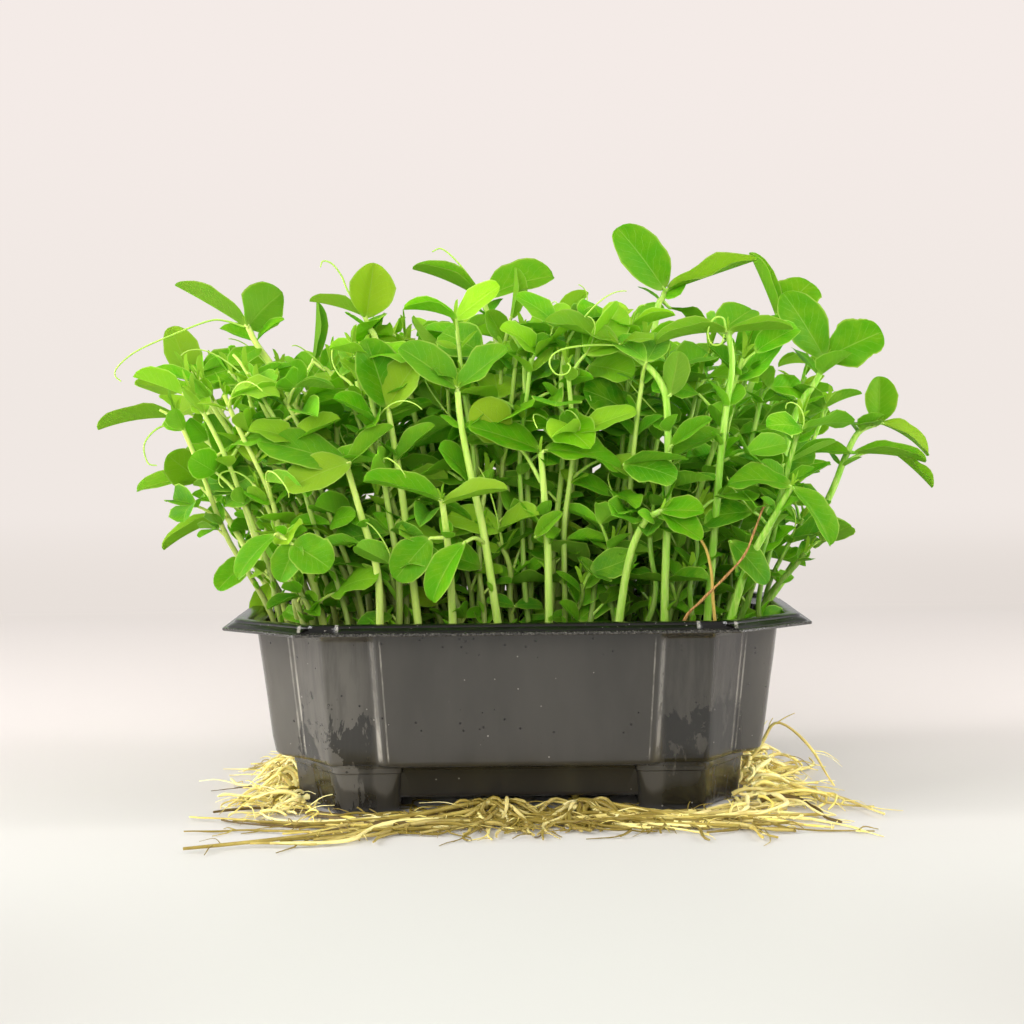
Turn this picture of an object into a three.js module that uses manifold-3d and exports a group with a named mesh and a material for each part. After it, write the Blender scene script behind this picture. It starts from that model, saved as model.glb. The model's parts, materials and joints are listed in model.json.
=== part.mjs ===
// Pea shoots growing in a thermoformed tray: millimetres, +Z up, front towards -Y.
// The tray stands on its four feet, and the roots that have left its drain holes lie around them.

import * as THREE from 'three';
import { mergeVertices } from 'three/addons/utils/BufferGeometryUtils.js';
import Module from 'manifold-3d';

const wasm = await Module();
wasm.setup();

// ---------------------------------------------------------------- driving dimensions

const SHEET = 0.9; // thickness of the formed plastic sheet
const GAP = 0.35; // clearance between pieces that rest on each other
const RIM_TOP_Z = 62;
const LEDGE_Z = 15.8; // underside of the body, where plinth and feet begin
const FLOOR_Z = 5.3; // underside of the raised floor between the feet
const WALL_TOP_Z = 59; // height at which the wall's top dimensions are taken
const MAT_TOP_Z = 40;

// the rim's rings, each a rectangle with its corners cut off: half length, half width and corner cut
const LIP = { x: 94.2, y: 68.5, cut: 25.5 };
const SKIRT_FOOT = { x: 92.6, y: 67, cut: 25 };
const RIDGE = { x: 90.7, y: 65, cut: 24.2 };
const OPENING = { x: 86.2, y: 60.8, cut: 22 };
const LIP_TOP_Z = 59.6;

// the body wall's plan at the ledge and at the top: half sizes of its panels
const WALL_LOW = { flat: 42, front: 56, recessEnd: 59.5, crease: [69, 36.8], corner: [80, 25.3] };
const WALL_HIGH = { flat: 44.5, front: 60, recessEnd: 61.7, crease: [73, 41.5], corner: [85.2, 29] };
const STEP_WIDTH = 2.6; // between the centre panel and a recessed end panel
const RECESS = 2.5;
const RECESS_TOP_Z = 56.5;
const BODY_FILLET = 1.2;

const PLINTH = { x: 69, y: 50, corner: 18, draft: 1.2 };
const FOOT_PLAN = [[36.4, -52], [58.3, -52], [66.6, -36.6], [74.2, -22], [71, -16], [36.4, -16]];
const FOOT_DRAFT = 1.4;
const FOOT_FILLET = 1.2;

const HOLE_RADIUS = 2.6;
const DRAIN_HOLES = [[-8, -43], [18.5, -43], [-8, -14], [18.5, -14], [-8, 14], [18.5, 14], [-8, 42], [18.5, 42],
	[-54, 0], [58, 0]];

const STEM_RADIUS = 1.35;
const SEED_RADIUS = 3.4;
const STALK_RADIUS = 0.8;
const LEAF_THICKNESS = 1.2;
const LEAF_WIDTH = 0.64; // of its length
const LEAF_FOLD = 0.35; // how far the margins rise over the midrib, of their distance from it
const LEAF_HALF = [[0.28, 0.46], [0.7, 0.44]]; // points on one margin: along, aside
const WAIST = 1.1; // half the width where the leaflets of a pair meet
const SHOOT_CLEARANCE = 0.3;
const LEAN = 1.35; // power by which a stem leaves the upright towards its crown
const TOP_NODE = 0.98; // where the uppermost leaves leave the stem, of its height
const NODE_STEP = 0.17; // between one pair of leaves and the next below
const NODE_JITTER = 30; // degrees
const PETIOLE = { length: 5, longer: 7, rise: 50, flatter: 8 }; // the top leaf stalk, and its change per node below
const LOWER_LEAF = { flatter: 14, shorter: 2 }; // change of the leaflets per node below
const ROOT_RADIUS = 1.2;

// ---------------------------------------------------------------- materials

const plastic = new THREE.MeshStandardMaterial({ color: 0x3a3735, roughness: 0.35, metalness: 0 });
const coir = new THREE.MeshStandardMaterial({ color: 0x4a3524, roughness: 0.95, metalness: 0 });
const shootGreen = new THREE.MeshStandardMaterial({ color: 0x69a234, roughness: 0.5, metalness: 0 });
const rootCream = new THREE.MeshStandardMaterial({ color: 0xd9c48c, roughness: 0.6, metalness: 0 });
const strawBrown = new THREE.MeshStandardMaterial({ color: 0x9a6a3a, roughness: 0.8, metalness: 0 });

// ---------------------------------------------------------------- solids

const tray = new THREE.Group();

function toSolid(geometry) {
	geometry.deleteAttribute('normal');
	geometry.deleteAttribute('uv');
	const merged = mergeVertices(geometry, 1e-4);
	return new wasm.Manifold(new wasm.Mesh({
		numProp: 3,
		vertProperties: new Float32Array(merged.attributes.position.array),
		triVerts: new Uint32Array(merged.index.array),
	}));
}

// Where thin forms join, a speck of air can be shut in between them: only the outer skin is kept.
function outerSkin(solid) {
	return solid.decompose().reduce((a, b) => (b.volume() > a.volume() ? b : a));
}

function addPiece(name, solid, material) {
	const mesh = solid.getMesh();
	const geometry = new THREE.BufferGeometry();
	geometry.setAttribute('position', new THREE.BufferAttribute(mesh.vertProperties, 3));
	geometry.setIndex(new THREE.BufferAttribute(mesh.triVerts, 1));
	geometry.computeVertexNormals();
	const piece = new THREE.Mesh(geometry, material);
	piece.name = name;
	tray.add(piece);
}

// A closed skin through rings of equally many points, each ring [plan points, height], capped at both ends.
function loft(rings) {
	const count = rings[0][0].length;
	const positions = [];
	const index = [];
	for (const [plan, z] of rings) {
		for (const [x, y] of plan) {
			positions.push(x, y, z);
		}
	}
	for (let r = 0; r + 1 < rings.length; r++) {
		for (let i = 0; i < count; i++) {
			const a = r * count + i;
			const b = r * count + (i + 1) % count;
			index.push(a, b, b + count, a, b + count, a + count);
		}
	}
	const last = (rings.length - 1) * count;
	const contour = rings[0][0].map(([x, y]) => new THREE.Vector2(x, y));
	for (const [a, b, c] of THREE.ShapeUtils.triangulateShape(contour, [])) {
		index.push(a, c, b);
	}
	const top = rings[rings.length - 1][0].map(([x, y]) => new THREE.Vector2(x, y));
	for (const [a, b, c] of THREE.ShapeUtils.triangulateShape(top, [])) {
		index.push(last + a, last + b, last + c);
	}
	const geometry = new THREE.BufferGeometry();
	geometry.setAttribute('position', new THREE.Float32BufferAttribute(positions, 3));
	geometry.setIndex(index);
	return toSolid(geometry);
}

// The whole plan, counter-clockwise from the front right quarter given from the front to the side.
function allQuarters(quarter) {
	const turned = quarter.slice().reverse();
	return [
		...quarter,
		...turned.map(([x, y]) => [x, -y]),
		...quarter.map(([x, y]) => [-x, -y]),
		...turned.map(([x, y]) => [-x, y]),
	];
}

// ---------------------------------------------------------------- tray

function rimPlan({ x, y, cut }) {
	return allQuarters([
		[WALL_HIGH.flat, -y],
		[WALL_HIGH.flat + STEP_WIDTH, -y],
		[x - cut, -y],
		[x - cut / 2, -(y - cut / 2)],
		[x, -(y - cut)],
	]);
}

function wallPlan(z, inset, recess) {
	const k = (z - LEDGE_Z) / (WALL_TOP_Z - LEDGE_Z);
	const mix = (low, high) => THREE.MathUtils.lerp(low, high, k);
	const flat = mix(WALL_LOW.flat, WALL_HIGH.flat);
	const front = mix(WALL_LOW.front, WALL_HIGH.front) - inset;
	const crease = [0, 1].map((i) => mix(WALL_LOW.crease[i], WALL_HIGH.crease[i]) - inset * 0.75);
	const corner = [0, 1].map((i) => mix(WALL_LOW.corner[i], WALL_HIGH.corner[i]));
	return allQuarters([
		[flat, -front],
		[flat + STEP_WIDTH, -(front - recess)],
		[mix(WALL_LOW.recessEnd, WALL_HIGH.recessEnd) - inset * 0.5, -(front - recess)],
		[crease[0], -crease[1]],
		[corner[0] - inset, -corner[1] + inset * 0.5],
	]);
}

function plinthPlan(z, inset) {
	const shrink = PLINTH.draft * (LEDGE_Z - z) / (LEDGE_Z - FLOOR_Z) + inset;
	const x = PLINTH.x - shrink;
	const y = PLINTH.y - shrink;
	return allQuarters([[x - PLINTH.corner, -y], [x, -(y - PLINTH.corner)]]);
}

function footPlan(shrink) {
	const middle = new THREE.Vector2();
	FOOT_PLAN.forEach(([x, y]) => middle.add(new THREE.Vector2(x, y).divideScalar(FOOT_PLAN.length)));
	return FOOT_PLAN.map(([x, y]) => {
		const inward = middle.clone().sub(new THREE.Vector2(x, y)).normalize().multiplyScalar(shrink * 1.3);
		return [x + inward.x, y + inward.y];
	});
}

// The four feet, each the front right one mirrored; a plan mirrored once is read backwards to face out.
function feet(inset, bottom, top) {
	const corners = [[1, 1], [1, -1], [-1, 1], [-1, -1]].map(([sx, sy]) => {
		const turned = (shrink) => {
			const plan = footPlan(shrink).map(([x, y]) => [sx * x, sy * y]);
			return sx * sy > 0 ? plan : plan.reverse();
		};
		return loft([
			[turned(inset + FOOT_DRAFT + FOOT_FILLET), bottom],
			[turned(inset + FOOT_DRAFT), bottom + FOOT_FILLET],
			[turned(inset), top],
		]);
	});
	return corners.reduce((all, corner) => all.add(corner));
}

function plinth(inset, bottom, top) {
	return loft([[plinthPlan(bottom, inset), bottom], [plinthPlan(LEDGE_Z, inset), top]]);
}

function makeTray() {
	const skin = loft([
		[wallPlan(LEDGE_Z, BODY_FILLET, RECESS), LEDGE_Z],
		[wallPlan(LEDGE_Z + BODY_FILLET, 0, RECESS), LEDGE_Z + BODY_FILLET],
		[wallPlan(RECESS_TOP_Z, 0, RECESS), RECESS_TOP_Z],
		[wallPlan(RECESS_TOP_Z + 1.5, 0, 0), RECESS_TOP_Z + 1.5],
		[wallPlan(WALL_TOP_Z, 0, 0), WALL_TOP_Z],
		[rimPlan({ x: OPENING.x + SHEET, y: OPENING.y + SHEET, cut: OPENING.cut }), RIM_TOP_Z - SHEET],
		[rimPlan({ x: RIDGE.x - SHEET * 0.6, y: RIDGE.y - SHEET * 0.6, cut: RIDGE.cut }), RIM_TOP_Z - SHEET],
		[rimPlan(SKIRT_FOOT), LIP_TOP_Z - SHEET],
		[rimPlan(LIP), LIP_TOP_Z - SHEET],
		[rimPlan(LIP), LIP_TOP_Z],
		[rimPlan(SKIRT_FOOT), LIP_TOP_Z],
		[rimPlan(RIDGE), RIM_TOP_Z],
		[rimPlan(OPENING), RIM_TOP_Z],
		[wallPlan(WALL_TOP_Z, SHEET, 0), WALL_TOP_Z],
		[wallPlan(RECESS_TOP_Z + 1.5, SHEET, 0), RECESS_TOP_Z + 1.5 - SHEET * 0.5],
		[wallPlan(RECESS_TOP_Z, SHEET, RECESS), RECESS_TOP_Z - SHEET * 0.5],
		[wallPlan(MAT_TOP_Z, SHEET, RECESS), MAT_TOP_Z],
		[wallPlan(LEDGE_Z + BODY_FILLET, SHEET, RECESS), LEDGE_Z + BODY_FILLET],
		[wallPlan(LEDGE_Z, BODY_FILLET + SHEET, RECESS), LEDGE_Z + SHEET],
	]);
	const lower = plinth(0, FLOOR_Z, LEDGE_Z + 0.4).add(feet(0, 0, LEDGE_Z + 0.4));
	const hollow = plinth(SHEET, FLOOR_Z + SHEET, LEDGE_Z + 2 * SHEET).add(feet(SHEET, SHEET, LEDGE_Z + 2 * SHEET));
	let solid = skin.add(lower).subtract(hollow);
	for (const [x, y] of DRAIN_HOLES) {
		const drill = new THREE.CylinderGeometry(HOLE_RADIUS, HOLE_RADIUS, 4, 8);
		drill.rotateX(Math.PI / 2);
		drill.translate(x, y, FLOOR_Z);
		solid = solid.subtract(toSolid(drill));
	}
	return solid;
}

// ---------------------------------------------------------------- growing medium

function makeMat() {
	const inset = SHEET + 2 * GAP;
	const slabBottom = LEDGE_Z + SHEET + GAP;
	const slab = loft([
		[wallPlan(LEDGE_Z, BODY_FILLET + inset, RECESS), slabBottom],
		[wallPlan(LEDGE_Z + BODY_FILLET, inset, RECESS), LEDGE_Z + BODY_FILLET + 2 * GAP],
		[wallPlan(MAT_TOP_Z, inset, RECESS), MAT_TOP_Z],
	]);
	const sump = plinth(inset, FLOOR_Z + SHEET + GAP, slabBottom + 0.5);
	return slab.add(sump).add(feet(inset, SHEET + GAP, slabBottom + 0.5));
}

// ---------------------------------------------------------------- pea shoots

// A number from 0 to 1 that is the same on every run.
function chance(seed) {
	const s = Math.sin(seed * 12.9898 + 4.1414) * 43758.5453;
	return s - Math.floor(s);
}

function tube(points, radius, sides, steps) {
	const section = new THREE.Shape();
	for (let i = 0; i < sides; i++) {
		const a = i * 2 * Math.PI / sides;
		section[i ? 'lineTo' : 'moveTo'](radius * Math.cos(a), radius * Math.sin(a));
	}
	const extrudePath = points.length > 2 ? new THREE.CatmullRomCurve3(points) : new THREE.LineCurve3(...points);
	return toSolid(new THREE.ExtrudeGeometry(section, { steps, extrudePath, bevelEnabled: false }));
}

// Two leaflets spread from one point, each a thin lens hollowed along its midrib, joined by a small waist.
function leafletPair(middle, azimuth, spread, rise, length, extra) {
	const up = heading(azimuth, 80);
	const ahead = heading(azimuth, 0).multiplyScalar(WAIST + extra);
	const thick = LEAF_THICKNESS / 2 + extra;
	const points = [
		middle.clone().add(ahead),
		middle.clone().sub(ahead),
		middle.clone().addScaledVector(up, thick),
		middle.clone().addScaledVector(up, -thick),
	];
	const [FRONT, BACK, TOP, BELOW] = [0, 1, 2, 3];
	const index = [];
	for (const hand of [-1, 1]) {
		const along = heading(azimuth + hand * spread, rise);
		const side = new THREE.Vector3().crossVectors(along, up).normalize();
		const face = new THREE.Vector3().crossVectors(side, along).normalize();
		const width = LEAF_WIDTH * length + 2 * extra;
		const place = (u, v, lift) => middle.clone()
			.addScaledVector(along, u * (length + extra))
			.addScaledVector(side, v * width)
			.addScaledVector(face, LEAF_FOLD * Math.abs(v) * width + lift);
		const first = points.length;
		for (const [u, v] of [...LEAF_HALF, [1, 0], ...LEAF_HALF.slice().reverse().map(([a, b]) => [a, -b])]) {
			points.push(place(u, v, 0));
		}
		const crown = points.push(place(0.5, 0, thick)) - 1;
		const keel = points.push(place(0.5, 0, -thick)) - 1;
		const [start, end] = hand < 0 ? [BACK, FRONT] : [FRONT, BACK];
		const edge = [start];
		for (let i = first; i < crown; i++) {
			edge.push(i);
		}
		edge.push(end);
		for (let i = 0; i + 1 < edge.length; i++) {
			index.push(edge[i], edge[i + 1], crown, edge[i + 1], edge[i], keel);
		}
		index.push(end, TOP, crown, TOP, start, crown, BELOW, end, keel, start, BELOW, keel);
	}
	const geometry = new THREE.BufferGeometry();
	geometry.setAttribute('position', new THREE.Float32BufferAttribute(points.flatMap((p) => p.toArray()), 3));
	geometry.setIndex(index);
	return toSolid(geometry);
}

function heading(azimuth, elevation) {
	const a = THREE.MathUtils.degToRad(azimuth);
	const e = THREE.MathUtils.degToRad(elevation);
	return new THREE.Vector3(Math.cos(e) * Math.cos(a), Math.cos(e) * Math.sin(a), Math.sin(e));
}

function stemPoint(shoot, t) {
	const [x, y, z] = shoot.crown;
	const lean = Math.pow(t, LEAN);
	const sway = Math.sin(Math.PI * t) * shoot.sway;
	return new THREE.Vector3(
		shoot.base[0] + (x - shoot.base[0]) * lean + sway,
		shoot.base[1] + (y - shoot.base[1]) * lean,
		MAT_TOP_Z + GAP + SEED_RADIUS + (z - MAT_TOP_Z - GAP - SEED_RADIUS) * t,
	);
}

// One shoot: seed, stem, and at each node a stalk that carries a pair of leaflets.
function makeShoot(shoot, turn, size, nodes, extra) {
	const path = [0, 0.25, 0.5, 0.75, 1].map((t) => stemPoint(shoot, t));
	let solid = tube(path, STEM_RADIUS + extra, 5, 5);
	const seed = new THREE.IcosahedronGeometry(SEED_RADIUS + extra * 0.5, 0);
	seed.translate(...shoot.base, MAT_TOP_Z + GAP + SEED_RADIUS + 0.1);
	solid = solid.add(toSolid(seed));
	for (let n = 0; n < nodes; n++) {
		const t = TOP_NODE - NODE_STEP * n;
		const azimuth = shoot.facing + turn + n * 180 + NODE_JITTER * (chance(shoot.number * 7 + n) - 0.5);
		const start = stemPoint(shoot, t);
		const stalk = PETIOLE.length + PETIOLE.longer * n * size;
		const end = start.clone().addScaledVector(heading(azimuth, PETIOLE.rise - PETIOLE.flatter * n), stalk);
		const inside = start.clone().addScaledVector(heading(azimuth, 0), -0.4);
		solid = solid.add(tube([inside, end], STALK_RADIUS + extra, 3, 1));
		const length = size * (shoot.leaf - LOWER_LEAF.shorter * n);
		const rise = shoot.rise - LOWER_LEAF.flatter * n;
		solid = solid.add(leafletPair(end, azimuth, shoot.spread, rise, length, extra));
	}
	return outerSkin(solid);
}

// The tall and outer shoots that set the crown's outline: base on the medium, crown, the way the top leaves
// face (degrees from +X), the angle of each leaflet from it, its rise, and the leaflet's length.
const OUTLINE_SHOOTS = [
	{ base: [36, 4], crown: [52, 5, 170], facing: 100, spread: 70, rise: 52, leaf: 25 },
	{ base: [63, -22], crown: [101, -15, 143], facing: 80, spread: 70, rise: 30, leaf: 24 },
	{ base: [58, 16], crown: [90, 20, 160], facing: 120, spread: 60, rise: 40, leaf: 23 },
	{ base: [-6, -6], crown: [-9, -5, 165], facing: 80, spread: 75, rise: 30, leaf: 22 },
	{ base: [-34, -8], crown: [-53, -8, 157], facing: 60, spread: 60, rise: 40, leaf: 22 },
	{ base: [-58, 8], crown: [-92, 5, 155], facing: 60, spread: 70, rise: 30, leaf: 21 },
	{ base: [-70, -12], crown: [-112, -15, 126], facing: 150, spread: 60, rise: 12, leaf: 24 },
	{ base: [-66, 26], crown: [-112, 42, 143], facing: 160, spread: 60, rise: 25, leaf: 22 },
	{ base: [-72, 10], crown: [-118, 26, 108], facing: 190, spread: 55, rise: 8, leaf: 20 },
	{ base: [72, 6], crown: [126, 16, 122], facing: 20, spread: 55, rise: 20, leaf: 22 },
	{ base: [-4, -44], crown: [-18, -52, 134], facing: 260, spread: 75, rise: 28, leaf: 24 },
	{ base: [-30, -40], crown: [-42, -46, 129], facing: 240, spread: 65, rise: 28, leaf: 22 },
	{ base: [-44, -46], crown: [-56, -60, 110], facing: 230, spread: 60, rise: 5, leaf: 25 },
	{ base: [-20, -44], crown: [-26, -62, 98], facing: 270, spread: 75, rise: 10, leaf: 22 },
	{ base: [10, -44], crown: [9, -58, 114], facing: 270, spread: 75, rise: 20, leaf: 22 },
	{ base: [42, -44], crown: [34, -52, 147], facing: 200, spread: 65, rise: 20, leaf: 22 },
	{ base: [54, -34], crown: [70, -44, 150], facing: 300, spread: 70, rise: 30, leaf: 21 },
	{ base: [64, -40], crown: [88, -58, 106], facing: 320, spread: 60, rise: 0, leaf: 24 },
	{ base: [26, -46], crown: [34, -64, 100], facing: 280, spread: 70, rise: 10, leaf: 20 },
	{ base: [-60, -30], crown: [-90, -44, 118], facing: 210, spread: 60, rise: 10, leaf: 22 },
	{ base: [70, 24], crown: [116, 44, 128], facing: 40, spread: 60, rise: 15, leaf: 22 },
];

// The crowd behind them stands on a grid and fans out over the tray's rim.
const GRID_X = [-56, -33, -11, 11, 33, 56];
const GRID_Y = [-20, 8, 28, 46];
const FAN = 1.55;
const CROWD_NODES = 1;
const TRIES = 40;
const CROWN_DROP = 2.5; // how much lower a crowded shoot is tried every few times
const STRAY_STEP = 0.2; // how much further from its place in the grid it is tried each time
const GOLDEN = 2.4; // radians between one try and the next

function crowdShoots() {
	const crowd = [];
	GRID_Y.forEach((gy, row) => GRID_X.forEach((gx, column) => {
		const number = 100 + row * GRID_X.length + column;
		const x = gx + 8 * (chance(number) - 0.5);
		const y = gy + 6 * (chance(number + 0.3) - 0.5);
		const taken = OUTLINE_SHOOTS.some(({ base }) => Math.hypot(base[0] - x, base[1] - y) < 9);
		if (!taken) {
			const drop = 26 * Math.pow(Math.abs(gx) / 56, 2) + 10 * Math.pow(gy / 46, 2);
			crowd.push({
				base: [x, y],
				crown: [x * FAN, y * FAN, 158 - drop + 8 * (chance(number + 0.6) - 0.5)],
				facing: 360 * chance(number + 0.9),
				crowd: true,
				spread: 68,
				rise: 24,
				leaf: 22,
			});
		}
	}));
	return crowd;
}

function apart(a, b) {
	const p = a.boundingBox();
	const q = b.boundingBox();
	const boxesApart = [0, 1, 2].some((i) => p.max[i] < q.min[i] || q.max[i] < p.min[i]);
	return boxesApart || a.intersect(b).volume() < 1e-6;
}

// Each shoot turns its leaves until it is clear of all that stands already, and sheds leaves where it can't.
function placeShoots(obstacles) {
	const placed = obstacles.slice();
	const shoots = [...OUTLINE_SHOOTS.map((s) => ({ ...s, nodes: 3 })),
		...crowdShoots().map((s) => ({ ...s, nodes: CROWD_NODES }))];
	let grown = 0;
	shoots.forEach((row, i) => {
		const shoot = { ...row, number: i + 1, sway: 5 * (chance(i + 0.5) - 0.5) };
		for (let attempt = 0; attempt < TRIES; attempt++) {
			const turn = 11 * attempt * (attempt % 2 ? 1 : -1);
			const size = attempt < 12 ? 1 : 0.8;
			const nodes = Math.max(1, shoot.nodes - Math.floor(attempt / 14));
			const stray = row.crowd ? [Math.cos(GOLDEN * attempt), Math.sin(GOLDEN * attempt)] : [0, 0];
			const step = STRAY_STEP * attempt;
			shoot.base = [row.base[0] + step * stray[0], row.base[1] + step * stray[1]];
			shoot.crown = [row.crown[0] + step * FAN * stray[0], row.crown[1] + step * FAN * stray[1],
				row.crown[2] - CROWN_DROP * Math.floor(attempt / 6)];
			const envelope = makeShoot(shoot, turn, size, nodes, SHOOT_CLEARANCE);
			if (placed.every((other) => apart(envelope, other))) {
				const solid = makeShoot(shoot, turn, size, nodes, 0);
				grown++;
				addPiece(`pea_shoot_${String(grown).padStart(2, '0')}`, solid, shootGreen);
				placed.push(solid);
				return;
			}
		}
	});
}

// ---------------------------------------------------------------- roots

// Each bundle leaves a drain hole and splits into strands: plan points, with a height where one is off the ground.
const ROOT_BUNDLES = [
	{ hole: 0, strands: [[[-14, -58, 3], [-34, -72], [-58, -86], [-99, -107]],
		[[-8, -60, 3], [-14, -74], [-30, -88]], [[-4, -58, 3], [2, -76], [-4, -90]],
		[[-18, -56, 4], [-36, -64, 2], [-62, -70], [-82, -66]]] },
	{ hole: 1, strands: [[[16, -58, 3], [14, -72], [22, -88]],
		[[24, -58, 3], [38, -72], [62, -80], [84, -78]],
		[[26, -56, 4], [46, -63, 2], [70, -66], [94, -64]]] },
	{ hole: 2, strands: [[[-28, -12, 3], [-48, -9, 3], [-76, -12, 2], [-88, -24], [-90, -46]]] },
	{ hole: 3, strands: [[[40, -11, 3], [60, -10, 3], [84, -14, 2], [104, -34], [114, -64]]] },
	{ hole: 6, strands: [[[-10, 58, 3], [-24, 72], [-52, 84]], [[-4, 60, 3], [2, 80]]] },
	{ hole: 7, strands: [[[22, 58, 3], [34, 74], [60, 82]], [[16, 60, 3], [18, 76]]] },
	{ hole: 8, strands: [[[-68, 0, 3], [-84, -2], [-95, 2], [-98, 14]],
		[[-66, 7, 3], [-82, 14], [-90, 36], [-86, 58]]] },
	{ hole: 9, strands: [[[72, 0, 3], [81, 2, 12], [90, 0, 21], [99, -4, 12], [104, -12]],
		[[70, 7, 3], [86, 12], [102, 26], [104, 48]]] },
];
const HUB_Z = 3; // where the strands part under the floor
const LYING_Z = ROOT_RADIUS + 0.3;

function makeRootBundle({ hole, strands }) {
	const [x, y] = DRAIN_HOLES[hole];
	const height = FLOOR_Z + SHEET;
	const stump = new THREE.CylinderGeometry(HOLE_RADIUS - GAP, HOLE_RADIUS - GAP, height, 8);
	stump.rotateX(Math.PI / 2);
	stump.translate(x, y, height / 2);
	let solid = toSolid(stump);
	strands.forEach((strand) => {
		const rest = strand.map(([px, py, pz = LYING_Z]) => new THREE.Vector3(px, py, pz));
		const points = [new THREE.Vector3(x, y, HUB_Z), ...rest];
		solid = solid.add(tube(points, ROOT_RADIUS, 5, 2 * points.length));
	});
	return outerSkin(solid);
}

// ---------------------------------------------------------------- dry stalk

const DRY_STALK = [[50, -51, MAT_TOP_Z + 1.2], [53, -52, 62], [68, -54, 80], [78, -55, 97]];

// ---------------------------------------------------------------- assembly

const traySolid = makeTray();
const matSolid = makeMat();
addPiece('tray', traySolid, plastic);
addPiece('growing_mat', matSolid, coir);
const stalkSolid = tube(DRY_STALK.map((p) => new THREE.Vector3(...p)), STALK_RADIUS, 4, 8);
addPiece('dry_stalk', stalkSolid, strawBrown);
placeShoots([traySolid, matSolid, stalkSolid]);
ROOT_BUNDLES.forEach((bundle, i) => {
	addPiece(`root_bundle_${String(i + 1).padStart(2, '0')}`, makeRootBundle(bundle), rootCream);
});

// the origin is on the ground, under the middle of everything
const reach = new THREE.Box3().setFromObject(tray);
const middle = reach.getCenter(new THREE.Vector3());
tray.position.set(-middle.x, -middle.y, -reach.min.z);

export default tray;
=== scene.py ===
"""Pea shoots in a formed plastic tray, dressed piece by piece in the frame of their solids."""

import json
import math
import random

import bmesh
import bpy
from bpy.props import (
    FloatProperty,
    FloatVectorProperty,
    IntProperty,
    PointerProperty,
)
from mathutils import Euler, Matrix, Vector, noise

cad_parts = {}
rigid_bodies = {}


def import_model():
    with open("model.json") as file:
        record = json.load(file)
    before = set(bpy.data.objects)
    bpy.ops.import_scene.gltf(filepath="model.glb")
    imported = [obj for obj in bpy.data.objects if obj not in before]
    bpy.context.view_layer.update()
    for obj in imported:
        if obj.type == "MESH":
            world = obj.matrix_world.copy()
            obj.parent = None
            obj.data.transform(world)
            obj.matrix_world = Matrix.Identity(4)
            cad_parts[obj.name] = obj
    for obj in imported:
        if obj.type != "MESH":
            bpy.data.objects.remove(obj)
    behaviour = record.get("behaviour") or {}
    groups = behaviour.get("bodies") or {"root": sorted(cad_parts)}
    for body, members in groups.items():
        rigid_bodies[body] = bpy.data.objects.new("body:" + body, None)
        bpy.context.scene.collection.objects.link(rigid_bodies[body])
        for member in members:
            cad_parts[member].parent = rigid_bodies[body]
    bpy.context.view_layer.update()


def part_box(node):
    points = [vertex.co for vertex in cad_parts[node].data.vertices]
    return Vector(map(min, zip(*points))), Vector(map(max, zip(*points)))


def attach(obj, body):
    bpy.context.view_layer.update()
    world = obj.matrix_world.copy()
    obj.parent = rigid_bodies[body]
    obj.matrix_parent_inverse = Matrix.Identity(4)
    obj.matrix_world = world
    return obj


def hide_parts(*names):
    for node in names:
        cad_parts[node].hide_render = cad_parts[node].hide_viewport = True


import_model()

bl_info = {
    "name": "Pea shoot tray",
    "version": (1, 0, 0),
    "blender": (4, 5, 0),
    "location": "3D View > Sidebar > Pea shoots",
    "description": "Builds a tray of pea shoots with its growing medium, stems, leaves and roots",
    "category": "Object",
}

MM = 0.001
TRAY_LOW, TRAY_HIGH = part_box("tray")
MIDDLE = Vector(((TRAY_LOW.x + TRAY_HIGH.x) / 2, (TRAY_LOW.y + TRAY_HIGH.y) / 2, 0))

# ---------------------------------------------------------------- sizes of the tray, in millimetres

SHEET = 0.9
GAP = 0.35
RIM_TOP = 62.0
LEDGE = 15.8
FLOOR = 5.3
WALL_TOP = 59.0
MAT_TOP = 40.0
LIP_TOP = 59.6
RECESS = 2.8
RECESS_TOP = 56.5
LIP = (94.2, 68.5, 25.5, 3.0)  # half length, half width, corner cut, corner radius
SKIRT_FOOT = (92.6, 67.0, 25.0, 4.0)
RIDGE = (90.7, 65.0, 24.2, 7.0)
OPENING = (86.2, 60.8, 22.0, 11.0)
NOTCH = (56.0, 67.6)  # where the rim's skirt is dented, from the middle
NOTCH_DEPTH = 2.3
WALL_LOW = dict(flat=42, front=56, end=59.5, crease=(69, 36.8), corner=(80, 25.3))
WALL_HIGH = dict(flat=44.5, front=60, end=61.7, crease=(73, 41.5), corner=(85.2, 29))
STEP = 2.6
WALL_RADII = (2.4, 1.8, 2.4, 1.6, 10.0)
WALL_SPANS = (1, 16, 8, 8, 22, 40)  # pieces of each edge of the plan: quarter's own four, side, front
PLINTH = dict(x=69, y=50, corner=18, draft=1.2)
FOOT_PLAN = ((36.4, -52), (58.3, -52), (66.6, -36.6), (74.2, -22), (71, -16), (36.4, -16))
FOOT_DRAFT = 1.4
FOOT_ROUND = 2.8
FOOT_SIGNS = ((1, 1), (1, -1), (-1, 1), (-1, -1))  # the sides of the tray that its feet are on
SHARP_CREASE = 32  # degrees
HOLE_RADIUS = 2.6
HOLE_SIDES = 24
DRAIN_HOLES = (
    (-8, -43), (18.5, -43), (-8, -14), (18.5, -14), (-8, 14), (18.5, 14), (-8, 42), (18.5, 42),
    (-54, 0), (58, 0),
)
SEED_RADIUS = 3.4
SEED_MIDDLE = MAT_TOP + GAP + SEED_RADIUS  # its height, where the stems start


def place(x, y, z=0.0):
    """A point of the part's frame, in metres, from the tray's own millimetres."""
    return MIDDLE + Vector((x, y, z)) * MM


def mix(a, b, k):
    return a + (b - a) * k


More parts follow.
